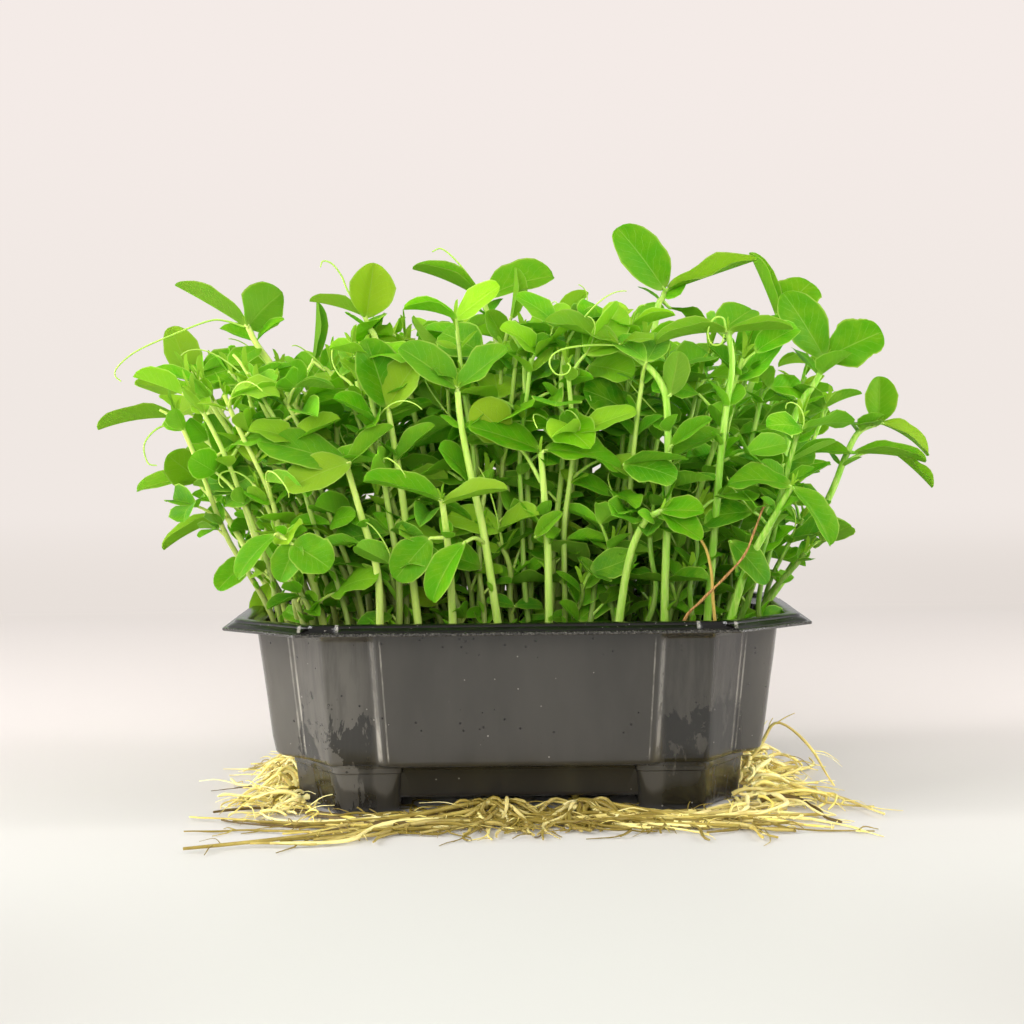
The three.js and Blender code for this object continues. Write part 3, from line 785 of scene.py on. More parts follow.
def leaf_form(name, fold=20, curl=15, lop=0.0, wave=0.02, side=0.0, teeth=0.0, peak=1.05, ends=1.9,
              fine=(14, 4)):
    """A closed leaf blade one metre long along +X, its upper side towards +Z."""
    rows, half = fine
    rows *= 2 if teeth else 1
    phi, bend = math.radians(fold), math.radians(curl)
    phase = chance(len(name) + fold + curl)

    def point(u, v, skin):
        """A point of the blade: u from foot to tip, v from -1 to 1 across, skin 1 above and -1 below."""
        outline = 0.0
        if 0 < u < 1:
            outline = (1 - abs(2 * u ** peak - 1) ** ends) ** (1 / ends) * mix(0.8, 1, smooth(0, 0.4, u))
        wide = BLADE_WIDTH / 2 * outline * (1 + lop * (1 if v > 0 else -1))
        swell = 0.03 * math.sin(math.tau * (2.3 * u + phase))
        wide *= 1 + swell + 0.014 * math.sin(math.tau * (5.3 * u + v))
        if teeth and abs(v) > 0.9:
            wide *= 1 + teeth * (0.5 - abs((u * 11 + phase) % 1 - 0.5) * 2) * smooth(0.15, 0.4, u)
        near = math.sqrt(v * v + 0.003) - math.sqrt(0.003)
        across = wide * v * math.cos(phi)
        rise = wide * math.sin(phi) * (near - 0.22 * v * v)
        rise += wave * v * v * outline * math.sin(math.tau * (1.6 * u + phase) + (1.3 if v > 0 else 0))
        rise += 0.012 * math.sin(math.tau * (4.5 * u - 0.9 * abs(v))) * outline * (1 - v * v) * abs(v) * 2
        if abs(v) < 0.01:
            rise -= (0.004 if skin > 0 else 0.016) * (1 - 0.5 * u)
        rise += skin * SHEET_OF_LEAF / 2 * (1 if abs(v) < 0.99 and 0 < u < 1 else 0)
        turn = bend * u
        if abs(bend) > 0.01:
            x, z = math.sin(turn) / bend, -(1 - math.cos(turn)) / bend
        else:
            x, z = u, 0.0
        return Vector((x + rise * math.sin(turn), across + side * u * u, z + rise * math.cos(turn)))

    points, blade = [], []

    def keep(u, v, skin):
        points.append(point(u, v, skin))
        blade.append((u, v, (1 - skin) / 2))
        return len(points) - 1

    base, tip = keep(0.0, 0.0, 0), keep(1.0, 0.0, 0)
    grid = []
    columns = [math.copysign(abs(j / half) ** 1.35, j) for j in range(-half + 1, half)]
    for r in range(1, rows):
        u = (1 - math.cos(math.pi * r / rows)) / 2
        left, right = keep(u, -1, 0), keep(u, 1, 0)
        inner = {s: [keep(u, v, s) for v in columns] for s in (1, -1)}
        grid.append({s: [left, *inner[s], right] for s in (1, -1)})
    faces = []
    for s in (1, -1):
        for r in range(len(grid) - 1):
            for j in range(2 * half):
                a, b = grid[r][s][j], grid[r][s][j + 1]
                c, d = grid[r + 1][s][j + 1], grid[r + 1][s][j]
                faces.append((a, d, c, b) if s > 0 else (a, b, c, d))
        for j in range(2 * half):
            a, b = grid[0][s][j], grid[0][s][j + 1]
            faces.append((base, a, b) if s > 0 else (base, b, a))
            a, b = grid[-1][s][j], grid[-1][s][j + 1]
            faces.append((tip, b, a) if s > 0 else (tip, a, b))
    mesh = mesh_from(name, points, faces)
    store(mesh, "blade", blade, "FLOAT_VECTOR")
    bm = bmesh.new()
    bm.from_mesh(mesh)
    bmesh.ops.recalc_face_normals(bm, faces=bm.faces)
    bm.to_mesh(mesh)
    bm.free()
    smooth_faces(mesh, SHARP_MARGIN)
    return mesh


def seed_form(name, salt):
    bm = bmesh.new()
    bmesh.ops.create_icosphere(bm, subdivisions=2, radius=1.0)
    for v in bm.verts:
        dimple = 0.10 * noise.noise(v.co * 1.7 + Vector((salt, 0, 0)))
        dimple += 0.05 * noise.noise(v.co * 4 + Vector((0, salt, 0)))
        v.co *= 1 + dimple
        v.co.z *= 0.9
    mesh = bpy.data.meshes.new(name)
    bm.to_mesh(mesh)
    bm.free()
    store(mesh, "blade", [(0, 0, 0)] * len(mesh.vertices), "FLOAT_VECTOR")
    mesh.shade_smooth()
    return mesh


def form_collection(leaf, seed):
    forms = bpy.data.collections.new("leaf_forms")
    for name in FORM_NAMES:
        if name.startswith("seed"):
            mesh = seed_form(name, int(name[-1]) * 3)
            mesh.materials.append(seed)
        else:
            mesh = leaf_form(name, **LEAF_FORMS[name])
            mesh.materials.append(leaf)
        forms.objects.link(bpy.data.objects.new(name, mesh))
    return forms


def leaf_lines(kit, spot, u, v):
    """The veins and the margin of a leaf: how light they are, and how high the veins stand."""
    aside = kit.distance(v)
    # side veins run forward from the midrib in arches
    lean = kit.minus(kit.times(u, 8.0), kit.times(kit.math("POWER", aside, 0.8), 2.6))
    lean = kit.plus(lean, kit.times(kit.grain(spot, 0.3, 2), 0.9))
    ridge = kit.distance(kit.math("FRACT", lean), 0.5)
    side = kit.times(kit.fall(ridge, 0.01, 0.055), kit.fall(aside, 0.55, 0.95))
    midrib = kit.fall(aside, 0.012, 0.04)
    net = kit.times(kit.fall(kit.cells(spot, 1.0, "Edge"), 0.02, 0.08), 0.25)
    light = kit.most(
        kit.times(side, 0.38),
        kit.times(midrib, 0.55),
        kit.times(net, 0.3),
        kit.times(kit.fall(u, 0.0, 0.14), 0.7),
        kit.times(kit.step(aside, 0.9, 0.965), 0.85),
    )
    relief = kit.plus(kit.times(kit.most(side, midrib), -0.5), kit.times(net, -0.4))
    return light, relief


def leaf_material(settings):
    material, kit = new_material("pea leaf")
    u, v, under = kit.split(kit.attribute("blade"))
    ripe, wax, shade = kit.split(kit.attribute("tint"))
    spot = kit.tray_millimetres()
    colour = kit.blend(kit.step(ripe, 0.0, 0.5), settings.deep_green, settings.leaf_green)
    colour = kit.blend(kit.step(ripe, 0.5, 1.0), colour, settings.lime)
    patches = kit.grain(spot, 0.2, 5, 0.65)
    colour = kit.blend(kit.step(patches, 0.35, 0.7, 0.0, 0.35), colour, settings.lime)
    colour = kit.blend(kit.times(wax, kit.step(patches, 0.2, 0.6, 0.9, 0.4)), colour, settings.bloom)
    colour = kit.blend(kit.times(under, kit.line(wax, 0.3, 0.42)), colour, settings.underside)
    light, relief = leaf_lines(kit, spot, u, v)
    colour = kit.blend(light, colour, settings.vein)
    flecks = kit.times(kit.fall(kit.cells(spot, 1.5), 0.1, 0.28),
                       kit.step(kit.grain(spot, 0.5, 2), 0.5, 0.62))
    colour = kit.blend(kit.times(flecks, kit.line(wax, 0.35, 0.08)), colour, settings.flecks)
    colour = kit.darken(colour, kit.line(shade, 0.55, 0.45))
    bump = kit.bump(kit.plus(relief, kit.times(kit.grain(spot, 1.4, 3), 0.6)), 0.5, 0.00022)
    skin = kit.principled(
        Base_Color=colour, Roughness=kit.line(wax, 0.2, kit.line(under, 0.12, 0.38)), Normal=bump,
        Subsurface_Weight=0.12, Subsurface_Radius=(0.5, 1.0, 0.15), Subsurface_Scale=0.0012,
        Specular_IOR_Level=0.09,
    )
    glow = kit.blend(0.45, colour, settings.glow)
    through = kit.add("ShaderNodeBsdfTranslucent", {"Color": glow, "Normal": bump})
    kit.finish(kit.add("ShaderNodeMixShader", {0: SHINE_THROUGH, 1: skin, 2: through}))
    return material


def stem_material(settings):
    material, kit = new_material("pea stem")
    ripe, kind, along_stem = kit.split(kit.attribute("tint"))
    grooves = kit.grain(kit.tray_millimetres(0.05), 0.9, 2, 0.5)
    fine = kit.grain(kit.tray_millimetres(0.4), 1.1, 4)
    # kind is one on a smooth tendril, nought on a stem in sight and minus one on a stem of the crowd, which
    # gets more painted shade
    grooved = kit.line(kit.most(kind, 0.0), -0.8, 1.0)
    colour = kit.blend(ripe, settings.stem_green, settings.stem_yellow)
    pale = kit.times(grooved, kit.step(grooves, 0.35, 0.7, 0.0, 0.55))
    colour = kit.blend(pale, colour, settings.stem_pale)
    colour = kit.blend(kit.step(fine, 0.5, 0.75, 0.0, 0.18), colour, settings.leaf_green)
    # painted shade: every stem darkens towards the growing medium, and a stem of the crowd darker still
    low = kit.fall(kit.split(kit.tray_millimetres())[2], 50, 120)
    inside = kit.times(kit.math("MINIMUM", kind, 0.0), kit.line(low, 0.3, 0.1))
    colour = kit.darken(colour, kit.plus(kit.line(low, -0.22, 0.95), inside))
    height = kit.times(grooved, kit.line(fine, 0.3, grooves))
    kit.finish(kit.principled(
        Base_Color=colour, Roughness=kit.step(fine, 0.3, 0.7, 0.34, 0.5),
        Normal=kit.bump(height, 0.3, 0.0002), Specular_IOR_Level=0.35,
        Subsurface_Weight=0.3, Subsurface_Radius=(0.8, 1.0, 0.2), Subsurface_Scale=0.0015,
    ))
    return material


def seed_material():
    material, kit = new_material("pea seed coat")
    spot = kit.tray_millimetres()
    mottle = kit.grain(spot, 0.45, 4, 0.6)
    colour = kit.blend(kit.step(mottle, 0.4, 0.65), "8d9a55", "b59a62")
    colour = kit.blend(kit.step(kit.grain(spot, 0.2, 3), 0.5, 0.7), colour, "6f5a38")
    kit.finish(kit.principled(Base_Color=colour, Roughness=0.55, Normal=kit.bump(mottle, 0.6, 0.0005),
                              Subsurface_Weight=0.1, Subsurface_Scale=0.001))
    return material


# ---------------------------------------------------------------- strands and seats


class Growth:
    """Stalk lines and leaf seats of one plant, in the tray's millimetres."""

    KINDS = dict(girth="FLOAT", form="INT", tint="FLOAT_VECTOR", turn="FLOAT_VECTOR", size="FLOAT_VECTOR")

    def __init__(self, rng):
        self.rng = rng
        # soil_and_shade also carries the painted shade of the front roots
        self.soil_and_shade = 0.15  # how soiled the roots are that come next
        self.points, self.edges = [], []
        self.values = {key: [] for key in self.KINDS}

    def _point(self, at, girth, tint, form=-1, turn=(0, 0, 0), size=(0, 0, 0)):
        self.points.append(place(*at))
        for key, value in zip(self.KINDS, (girth * MM, form, tint, turn, size)):
            self.values[key].append(value)
        return len(self.points) - 1

    def stalk(self, path, thick, thin, tint, bulge=None):
        """Adds a stalk that tapers from thick to thin; bulge says how much it swells along its way."""
        before = None
        count = len(path) - 1
        for i, p in enumerate(path):
            k = i / count
            girth = mix(thick, thin, k) * (bulge(k) if bulge else 1)
            here = self._point(p, girth, (tint[0], tint[1], k))
            if before is not None:
                self.edges.append((before, here))
            before = here

    def leaf(self, at, aim, width, form, facing, tint):
        """Seats a leaf: aim is the way from its foot to its tip, facing the way its upper side looks."""
        aim, facing = Vector(aim), Vector(facing)
        length = aim.length
        x = aim.normalized()
        z = facing - x * facing.dot(x)
        if z.length < 1e-3:
            z = Vector((0, 0, 1)) - x * x.z if abs(x.z) < 0.9 else Vector((0, -1, 0))
        z.normalize()
        y = z.cross(x)
        turn = Matrix((x, y, z)).transposed().to_euler()
        wide = width / BLADE_WIDTH
        size = (length * MM, wide * MM, math.sqrt(length * wide) * MM)
        self._point(at, 0, tint, FORM_NAMES.index(form), tuple(turn), size)

    def seed(self, at, radius):
        form = FORM_NAMES.index(f"seed_{self.rng.randint(1, 3)}")
        turn = tuple(self.rng.uniform(0, 6) for _ in range(3))
        self._point(at, 0, (0.5, 0, 0), form, turn, (radius * MM,) * 3)

    def mesh(self, name):
        mesh = mesh_from(name, self.points, [], self.edges)
        for key, kind in self.KINDS.items():
            store(mesh, key, self.values[key], kind)
        return mesh


def new_tree(name, inputs):
    """A geometry node tree with named inputs, its kit, and the sockets of the inputs by name."""
    tree = bpy.data.node_groups.new(name, "GeometryNodeTree")
    tree.interface.new_socket("Geometry", in_out="INPUT", socket_type="NodeSocketGeometry")
    tree.interface.new_socket("Geometry", in_out="OUTPUT", socket_type="NodeSocketGeometry")
    for label, kind in inputs:
        tree.interface.new_socket(label, in_out="INPUT", socket_type=kind)
    kit = Kit(tree)
    entry = kit.node("NodeGroupInput")
    return tree, kit, {s.name: s for s in entry.outputs if s.name}


def end_tree(kit, geometry):
    kit.node("NodeGroupOutput", {"Geometry": geometry})


def apply_tree(thing, tree, **values):
    modifier = thing.modifiers.new(tree.name, "NODES")
    modifier.node_group = tree
    keys = {i.name: i.identifier for i in tree.interface.items_tree if i.in_out == "INPUT"}
    for label, value in values.items():
        modifier[keys[label.replace("_", " ")]] = value
    return settle(thing)


def named(kit, name, kind="FLOAT"):
    return kit.node("GeometryNodeInputNamedAttribute", {"Name": name}, data_type=kind).outputs["Attribute"]


def swept(kit, curves, sides, material):
    """Round rods along curves, as thick as their girth attribute says."""
    ring = kit.add("GeometryNodeCurvePrimitiveCircle", {"Resolution": sides, "Radius": 1.0})
    rods = kit.add("GeometryNodeCurveToMesh", {
        "Curve": curves, "Profile Curve": ring, "Scale": named(kit, "girth"), "Fill Caps": True})
    even = kit.add("GeometryNodeSetShadeSmooth", {"Geometry": rods})
    return kit.add("GeometryNodeSetMaterial", {"Geometry": even, "Material": material})


def shoot_tree():
    """Stems swept along the guide's lines, and a leaf or seed form on each of its seats."""
    tree, kit, given = new_tree("grow shoot", (
        ("Forms", "NodeSocketCollection"),
        ("Stem Sides", "NodeSocketInt"),
        ("Stem Material", "NodeSocketMaterial"),
    ))
    lines = kit.add("GeometryNodeMeshToCurve", {"Mesh": given["Geometry"]})
    stems = swept(kit, lines, given["Stem Sides"], given["Stem Material"])
    form = named(kit, "form", "INT")
    is_seat = kit.node("FunctionNodeCompare", data_type="INT", operation="GREATER_THAN")
    for socket, value in zip([s for s in is_seat.inputs if s.type == "INT"], (form, -1)):
        kit.put(socket, value)
    seats = kit.add("GeometryNodeSeparateGeometry", {
        "Geometry": given["Geometry"], "Selection": is_seat.outputs[0]})
    shelf = kit.add("GeometryNodeCollectionInfo", {
        "Collection": given["Forms"], "Separate Children": True, "Reset Children": True})
    turn = kit.add("FunctionNodeEulerToRotation", {0: named(kit, "turn", "FLOAT_VECTOR")})
    leaves = kit.add("GeometryNodeInstanceOnPoints", {
        "Points": seats, "Instance": shelf, "Pick Instance": True,
        "Instance Index": form, "Rotation": turn, "Scale": named(kit, "size", "FLOAT_VECTOR")})
    both = kit.node("GeometryNodeJoinGeometry")
    for part in (stems, kit.add("GeometryNodeRealizeInstances", {"Geometry": leaves})):
        kit.put(both.inputs[0], part)
    end_tree(kit, both.outputs[0])
    return tree


def strand_tree():
    inputs = (("Sides", "NodeSocketInt"), ("Material", "NodeSocketMaterial"))
    tree, kit, given = new_tree("grow strands", inputs)
    lines = kit.add("GeometryNodeMeshToCurve", {"Mesh": given["Geometry"]})
    rods = swept(kit, lines, given["Sides"], given["Material"])
    end_tree(kit, kit.add("GeometryNodeRealizeInstances", {"Geometry": rods}))
    return tree


def raise_piece(name, growth, tree, slot, solids, **values):
    """Makes a growth into a piece, keeps only what its material reads, and hands it over."""
    thing = new_object(name, growth.mesh(name))
    apply_tree(thing, tree, **values)
    attributes = thing.data.attributes
    for key in ("girth", "form", "turn", "size"):
        if key in attributes:
            attributes.remove(attributes[key])
    hand_over(thing, slot, *solids)


# ---------------------------------------------------------------- shoots

UP = (0, 0.1, 1)
TOP_NODE = 0.985  # how far up its stem the first leaf pair of a crowd shoot is
PAIR_SIZES = (0.86, 1.0, 1.0, 0.9)  # of a shoot's leaf pairs, from its top down
# The shoots at the edges of the crowd, as they grow: base on the medium, stem points above it, leaves (foot,
# way to the tip, width, form, facing, ripeness, wax), leaf stalks, tendrils, and stipules
# (how far up, length).
PORTRAITS = {
    1: dict(base=(36, 4), stem=[(47, 5, 150), (51, 5, 167)],
        leaves=[
            ((51, 4, 168), (-14, -3, 22), 18, "open_3", (0.35, -1, 0.35), 0.5, 0.15),
            ((52, 5, 168), (30, -4, 10), 13, "half_3", (-0.2, -0.6, 1), 0.78, 0.1),
            ((53, 8, 162), (14, 6, -2), 11, "open_2", UP, 0.66, 0.2)],
        stipules=[(0.86, 10)]),
    2: dict(base=(63, -22), thick=1.75, stem=[(78, -21, 82), (87, -19, 109), (93, -18, 127),
                                              (99, -17, 136), (103, -15, 144)],
        leaves=[
            ((102, -16, 144), (-12, -4, 22), 17, "open_1", (0.3, -1, 0.35), 0.34, 0.1),
            ((103, -15, 144), (17, -5, 9), 17, "toothed_1", (-0.15, -1, 0.5), 0.34, 0.1)],
        stipules=[(0.86, 15), (0.62, 8)]),
    3: dict(base=(58, 16), stem=[(80, 19, 130), (91, 20, 158)],
        leaves=[
            ((91, 20, 159), (-8, 2, 23), 12, "closed_1", (1, -0.6, 0.3), 0.6, 0.1),
            ((92, 20, 159), (10, 0, 14), 17, "open_6", (-0.3, -1, 0.4), 0.62, 0.1)],
        stipules=[(0.84, 11)]),
    4: dict(base=(-6, -6), stem=[(-5, -6, 140), (-6, -5, 152), (-10, -5, 164)],
        leaves=[
            ((-10, -5, 165), (-22, 2, 15), 14, "closed_2", (0.2, -0.7, 1), 0.6, 0.25),
            ((-10, -5, 165), (22, -3, 12), 17, "half_2", (-0.3, -1, 0.8), 0.6, 0.2),
            ((-1, -12, 158), (3, 0, 17), 11, "folded_1", (1, -0.5, 0), 0.7, 0.2),
            ((-3, -10, 150), (-5, -3, 11), 10, "half_1", (0.4, -1, 0.3), 0.7, 0.3)],
        petioles=[[(-5, -6, 140), (-4, -10, 147), (-1, -12, 158)]],
        tendrils=[[(-11, -5, 166), (-15, -4, 173), (-20, -4, 179), (-24, -4, 182), (-27, -4, 181)]],
        stipules=[(0.88, 8)]),
    5: dict(base=(-34, -8), stem=[(-44, -8, 140), (-49, -8, 158)],
        leaves=[
            ((-49, -8, 159), (3, -3, 18), 21, "half_6", (0.15, -1, 0.15), 0.97, 0.0),
            ((-50, -8, 160), (-17, 2, 8), 9, "closed_2", (0, 0.2, 1), 0.75, 0.1)],
        tendrils=[[(-50, -8, 160), (-55, -8, 168), (-57, -8, 173), (-60, -9, 177), (-63, -9, 178),
                   (-64, -9, 176)]],
        stipules=[(0.82, 12)]),
    6: dict(base=(-58, 8), stem=[(-72, 7, 120), (-80, 6, 140), (-87, 5, 151), (-90, 5, 157)],
        leaves=[
            ((-90, 5, 157), (-24, 3, 16), 12, "closed_1", (0, 0.4, 1), 0.65, 0.3),
            ((-90, 4, 157), (6, 12, 12), 19, "open_2", (0.1, 0.9, 0.7), 0.62, 0.3),
            ((-86, 5, 150), (-9, -8, -4), 12, "open_1", (-0.2, -0.7, 1), 0.6, 0.2),
            ((-68, 3, 145), (3, 0, 20), 9, "folded_1", (1, -0.4, 0), 0.3, 0.5),
            ((-64, 2, 142), (4, -2, 8), 8, "half_1", (0, -1, 0.2), 0.5, 0.2)],
        tendrils=[[(-91, 4, 157), (-97, 3, 159), (-103, 2, 159), (-116, 0, 154), (-127, -1, 149),
                   (-133, -2, 144), (-134, -2, 141), (-132, -2, 139)]],
        petioles=[[(-75, 7, 128), (-72, 5, 138), (-68, 3, 145)]],
        stipules=[(0.8, 12)]),
    7: dict(base=(-70, -12), stem=[(-84, -14, 80), (-92, -15, 105), (-97, -15, 115),
                                   (-103, -15, 120), (-111, -15, 126)],
        leaves=[
            ((-111, -15, 127), (-27, -3, 2), 13, "folded_2", (0, 0.1, 1), 0.8, 0.35),
            ((-111, -15, 127), (9, -10, 8), 15, "half_2", (-0.6, -0.7, 0.7), 0.85, 0.2),
            ((-94, -20, 112), (-5, -2, 16), 12, "half_3", (0.6, -1, 0), 0.55, 0.45),
            ((-91, -12, 124), (0, 0, 18), 8, "folded_1", (1, -0.5, 0), 0.25, 0.4)],
        tendrils=[[(-112, -15, 125), (-118, -17, 123), (-122, -18, 118), (-121, -18, 112),
                   (-118, -18, 111)]],
        stipules=[(0.75, 12), (0.5, 8)]),
    8: dict(base=(-66, 26), stem=[(-80, 31, 80), (-98, 37, 113), (-114, 41, 138)],
        leaves=[
            ((-114, 41, 139), (-7, -2, 20), 15, "half_1", (0.4, -1, 0.1), 0.9, 0.45),
            ((-114, 40, 139), (24, -8, 10), 18, "open_2", (0, -1, 0.6), 0.6, 0.1),
            ((-115, 41, 138), (-19, -6, -3), 15, "open_5", (-0.3, -0.7, 1), 0.8, 0.3),
            ((-98, 38, 117), (-20, -4, -4), 14, "open_3", (-0.3, -0.8, 1), 0.6, 0.3),
            ((-92, 36, 108), (14, -10, 8), 15, "open_6", (0, -1, 0.5), 0.55, 0.2)],
        petioles=[[(-94, 37, 112), (-96, 37, 115), (-98, 38, 117)]],
        stipules=[(0.85, 10), (0.6, 9)]),
    9: dict(base=(-72, 10), stem=[(-88, 15, 72), (-100, 20, 92), (-110, 23, 104)],
        leaves=[
            ((-110, 23, 105), (-22, -4, 1), 12, "half_2", (0, -0.7, 1), 0.7, 0.25),
            ((-110, 22, 105), (-8, -10, 8), 14, "open_1", (-0.3, -1, 0.4), 0.75, 0.2),
            ((-100, 19, 92), (-24, -4, -6), 11, "folded_2", (0, -0.2, 1), 0.8, 0.3),
            ((-91, 15, 78), (-12, -8, -9), 12, "open_3", (-0.5, -1, 0.5), 0.45, 0.2),
            ((-84, 13, 70), (-6, -8, -12), 11, "half_2", (-0.4, -1, 0.1), 0.8, 0.1)],
        stipules=[(0.8, 10), (0.5, 8)]),
    10: dict(base=(72, 6), stem=[(96, 9, 76), (108, 12, 98), (113, 13, 110), (118, 14, 119),
                                 (125, 16, 122)],
        leaves=[
            ((125, 16, 122), (1, -2, 16), 14, "half_1", (0.2, -1, 0.1), 0.66, 0.1),
            ((126, 16, 122), (20, 2, -7), 13, "half_2", (0.1, -0.5, 1), 0.85, 0.05),
            ((124, 16, 121), (-8, -10, 3), 12, "open_1", UP, 0.6, 0.1),
            ((116, 12, 112), (25, -4, 1), 10, "folded_2", (0, -0.4, 1), 0.62, 0.2),
            ((115, 12, 112), (-14, -4, 2), 11, "half_1", (0, -0.6, 1), 0.5, 0.2),
            ((130, 14, 112), (14, -3, -11), 8, "folded_3", (0.2, -0.5, 1), 0.7, 0.2)],
        petioles=[[(112, 13, 108), (120, 13, 112), (130, 14, 112)]],
        stipules=[(0.8, 11), (0.55, 7)]),
    11: dict(base=(-4, -44), stem=[(-10, -48, 87), (-14, -50, 107), (-17, -51, 124), (-18, -52, 134)],
        leaves=[
            ((-18, -52, 135), (-17, -3, 14), 16, "half_1", (0.3, -1, 0.8), 0.42, 0.5),
            ((-18, -52, 135), (16, -4, 12), 14, "half_3", (-0.3, -1, 0.9), 0.45, 0.45),
            ((-16, -58, 87), (-14, -4, -16), 15, "half_2", (-0.7, -1, 0.7), 0.5, 0.1)],
        stipules=[(0.72, 8)],
        petioles=[[(-10, -48, 86), (-13, -54, 88), (-16, -58, 87)]]),
    12: dict(base=(-30, -40), stem=[(-36, -43, 100), (-40, -46, 128)],
        leaves=[
            ((-40, -46, 129), (-6, -3, 22), 18, "half_1", (0.3, -1, 0.3), 0.28, 0.1),
            ((-40, -47, 129), (9, -4, 16), 16, "half_1", (-0.5, -1, 0.4), 0.85, 0.3),
            ((-38, -46, 112), (12, -6, 12), 11, "folded_1", (-0.3, -1, 1), 0.62, 0.4)],
        stipules=[(0.7, 8)]),
    13: dict(base=(-44, -46), stem=[(-44, -46, 75), (-49, -47, 95), (-53, -48, 110)],
        leaves=[
            ((-53, -49, 111), (-27, -4, 11), 17, "open_1", (0.2, -0.85, 0.9), 0.36, 0.45),
            ((-52, -52, 112), (-20, -8, -6), 17, "open_3", (-0.1, -0.8, 0.9), 0.9, 0.5),
            ((-53, -49, 111), (14, -3, 13), 11, "folded_1", (-0.6, -1, 0.7), 0.66, 0.3),
            ((-49, -50, 86), (-14, -4, 2), 8, "folded_2", (0, -0.6, 1), 0.45, 0.5)],
        stipules=[(0.6, 7)]),
    14: dict(base=(-20, -44), stem=[(-21, -48, 75), (-22, -54, 90), (-23, -60, 100)],
        leaves=[
            ((-23, -60, 100), (-23, -4, 10), 14, "half_4", (0.2, -0.5, 1), 0.42, 0.15),
            ((-23, -60, 99), (20, -6, 6), 12, "folded_1", (0.1, -0.6, 1), 1.0, 0.5),
            ((-27, -52, 88), (-12, -3, -12), 14, "open_1", (-0.4, -1, 0.2), 0.36, 0.15)],
        stipules=[(0.6, 7)]),
    15: dict(base=(10, -44), stem=[(10, -46, 80), (9, -49, 100), (8, -50, 114)],
        leaves=[
            ((8, -47, 115), (-22, -6, 10), 16, "open_3", (0.2, -0.7, 1), 0.48, 0.1),
            ((9, -50, 115), (25, -5, 2), 17, "half_5", (0, -0.6, 1), 0.55, 0.05),
            ((-2, -46, 119), (-10, -6, 11), 16, "open_1", (0.2, -1, 0.4), 1.0, 0.1),
            ((6, -52, 88), (8, -5, 8), 8, "folded_1", (0, -1, 0.6), 0.65, 0.3)],
        stipules=[(0.55, 8), (0.4, 6)],
        petioles=[[(8, -48, 105), (3, -46, 114), (-2, -44, 119)]]),
    16: dict(base=(47, -40), stem=[(47, -44, 67), (48, -47, 100), (48, -48, 127), (46, -48, 136),
                                   (41, -48, 142), (33, -47, 148)],
        leaves=[
            ((33, -47, 148), (-23, -2, 9), 16, "half_3", (0.2, -0.5, 1), 0.7, 0.5),
            ((33, -47, 148), (9, -8, 5), 9, "open_2", (0, -0.5, 1), 0.75, 0.4),
            ((49, -49, 132), (3, -2, 14), 10, "half_1", (0.3, 1, 0.2), 0.66, 0.8),
            ((49, -50, 116), (12, -5, 9), 9, "folded_1", (-0.4, -1, 0.6), 0.5, 0.3)],
        tendrils=[[(32, -48, 148), (24, -50, 148), (16, -52, 147), (12, -52, 145), (11, -53, 142),
                   (13, -54, 139), (16, -54, 139), (17.5, -54, 141), (16.5, -54, 142.5)]],
        stipules=[(0.45, 9)]),
    17: dict(base=(60, -34), stem=[(63, -40, 85), (65, -44, 111), (67, -44, 128), (69, -44, 141),
                                   (68, -44, 151)],
        leaves=[
            ((68, -44, 152), (-24, -6, 2), 13, "folded_2", (0, -0.3, 1), 0.7, 0.45),
            ((68, -44, 152), (20, -3, 2), 11, "folded_1", (0, -0.3, 1), 0.68, 0.4),
            ((66, -38, 152), (11, 8, 9), 16, "half_1", (-0.3, -1, 0.8), 0.5, 0.4),
            ((66, -44, 120), (-16, -5, -5), 12, "half_4", (0, -0.6, 1), 0.42, 0.4)],
        tendrils=[[(67, -45, 152), (66, -47, 156), (63, -48, 156), (61, -48, 152), (62, -49, 148),
                   (65, -49, 148), (66, -49, 151)]],
        stipules=[(0.6, 11), (0.45, 8)]),
    18: dict(base=(64, -40), stem=[(72, -47, 75), (80, -53, 92), (86, -56, 103)],
        leaves=[
            ((86, -56, 103), (16, -3, -16), 13, "half_2", (0.6, -0.8, 0.7), 0.36, 0.2),
            ((86, -56, 103), (-19, -2, 8), 14, "open_4", (0, -0.6, 1), 0.3, 0.2),
            ((67, -52, 86), (13, -3, -12), 12, "open_1", (0.5, -0.9, 0.7), 0.2, 0.2)],
        stipules=[(0.75, 7)],
        petioles=[[(70, -46, 76), (68, -50, 83), (67, -52, 86)]]),
    19: dict(base=(30, -44), stem=[(35, -48, 78), (40, -53, 92), (45, -57, 96)],
        leaves=[
            ((45, -58, 96), (13, -4, 1), 12, "half_1", (0, -0.8, 0.9), 0.48, 0.1),
            ((45, -58, 96), (12, -5, -9), 11, "half_3", (0.2, -1, 0.7), 0.5, 0.1)],
        stipules=[(0.85, 9)]),
    20: dict(base=(-60, -30), stem=[(-66, -36, 75), (-71, -48, 86), (-75, -55, 90)],
        leaves=[
            ((-75, -56, 90), (-15, -3, -11), 12, "half_2", (-0.3, -0.8, 0.8), 0.5, 0.3),
            ((-70, -58, 87), (12, -6, -6), 15, "toothed_2", (0.2, -1, 0.4), 0.42, 0.3),
            ((-68, -57, 88), (-6, -5, -12), 12, "half_1", (-0.3, -1, 0.2), 0.42, 0.3)],
        stipules=[(0.8, 7)]),
}


def stem_line(base, crown, sway):
    points = []
    for k in range(9):
        t = k / 8
        lean = t ** 1.35
        x = mix(base[0], crown[0], lean) + math.sin(math.pi * t) * sway
        points.append(Vector((x, mix(base[1], crown[1], lean), mix(SEED_MIDDLE, crown[2], t))))
    return points


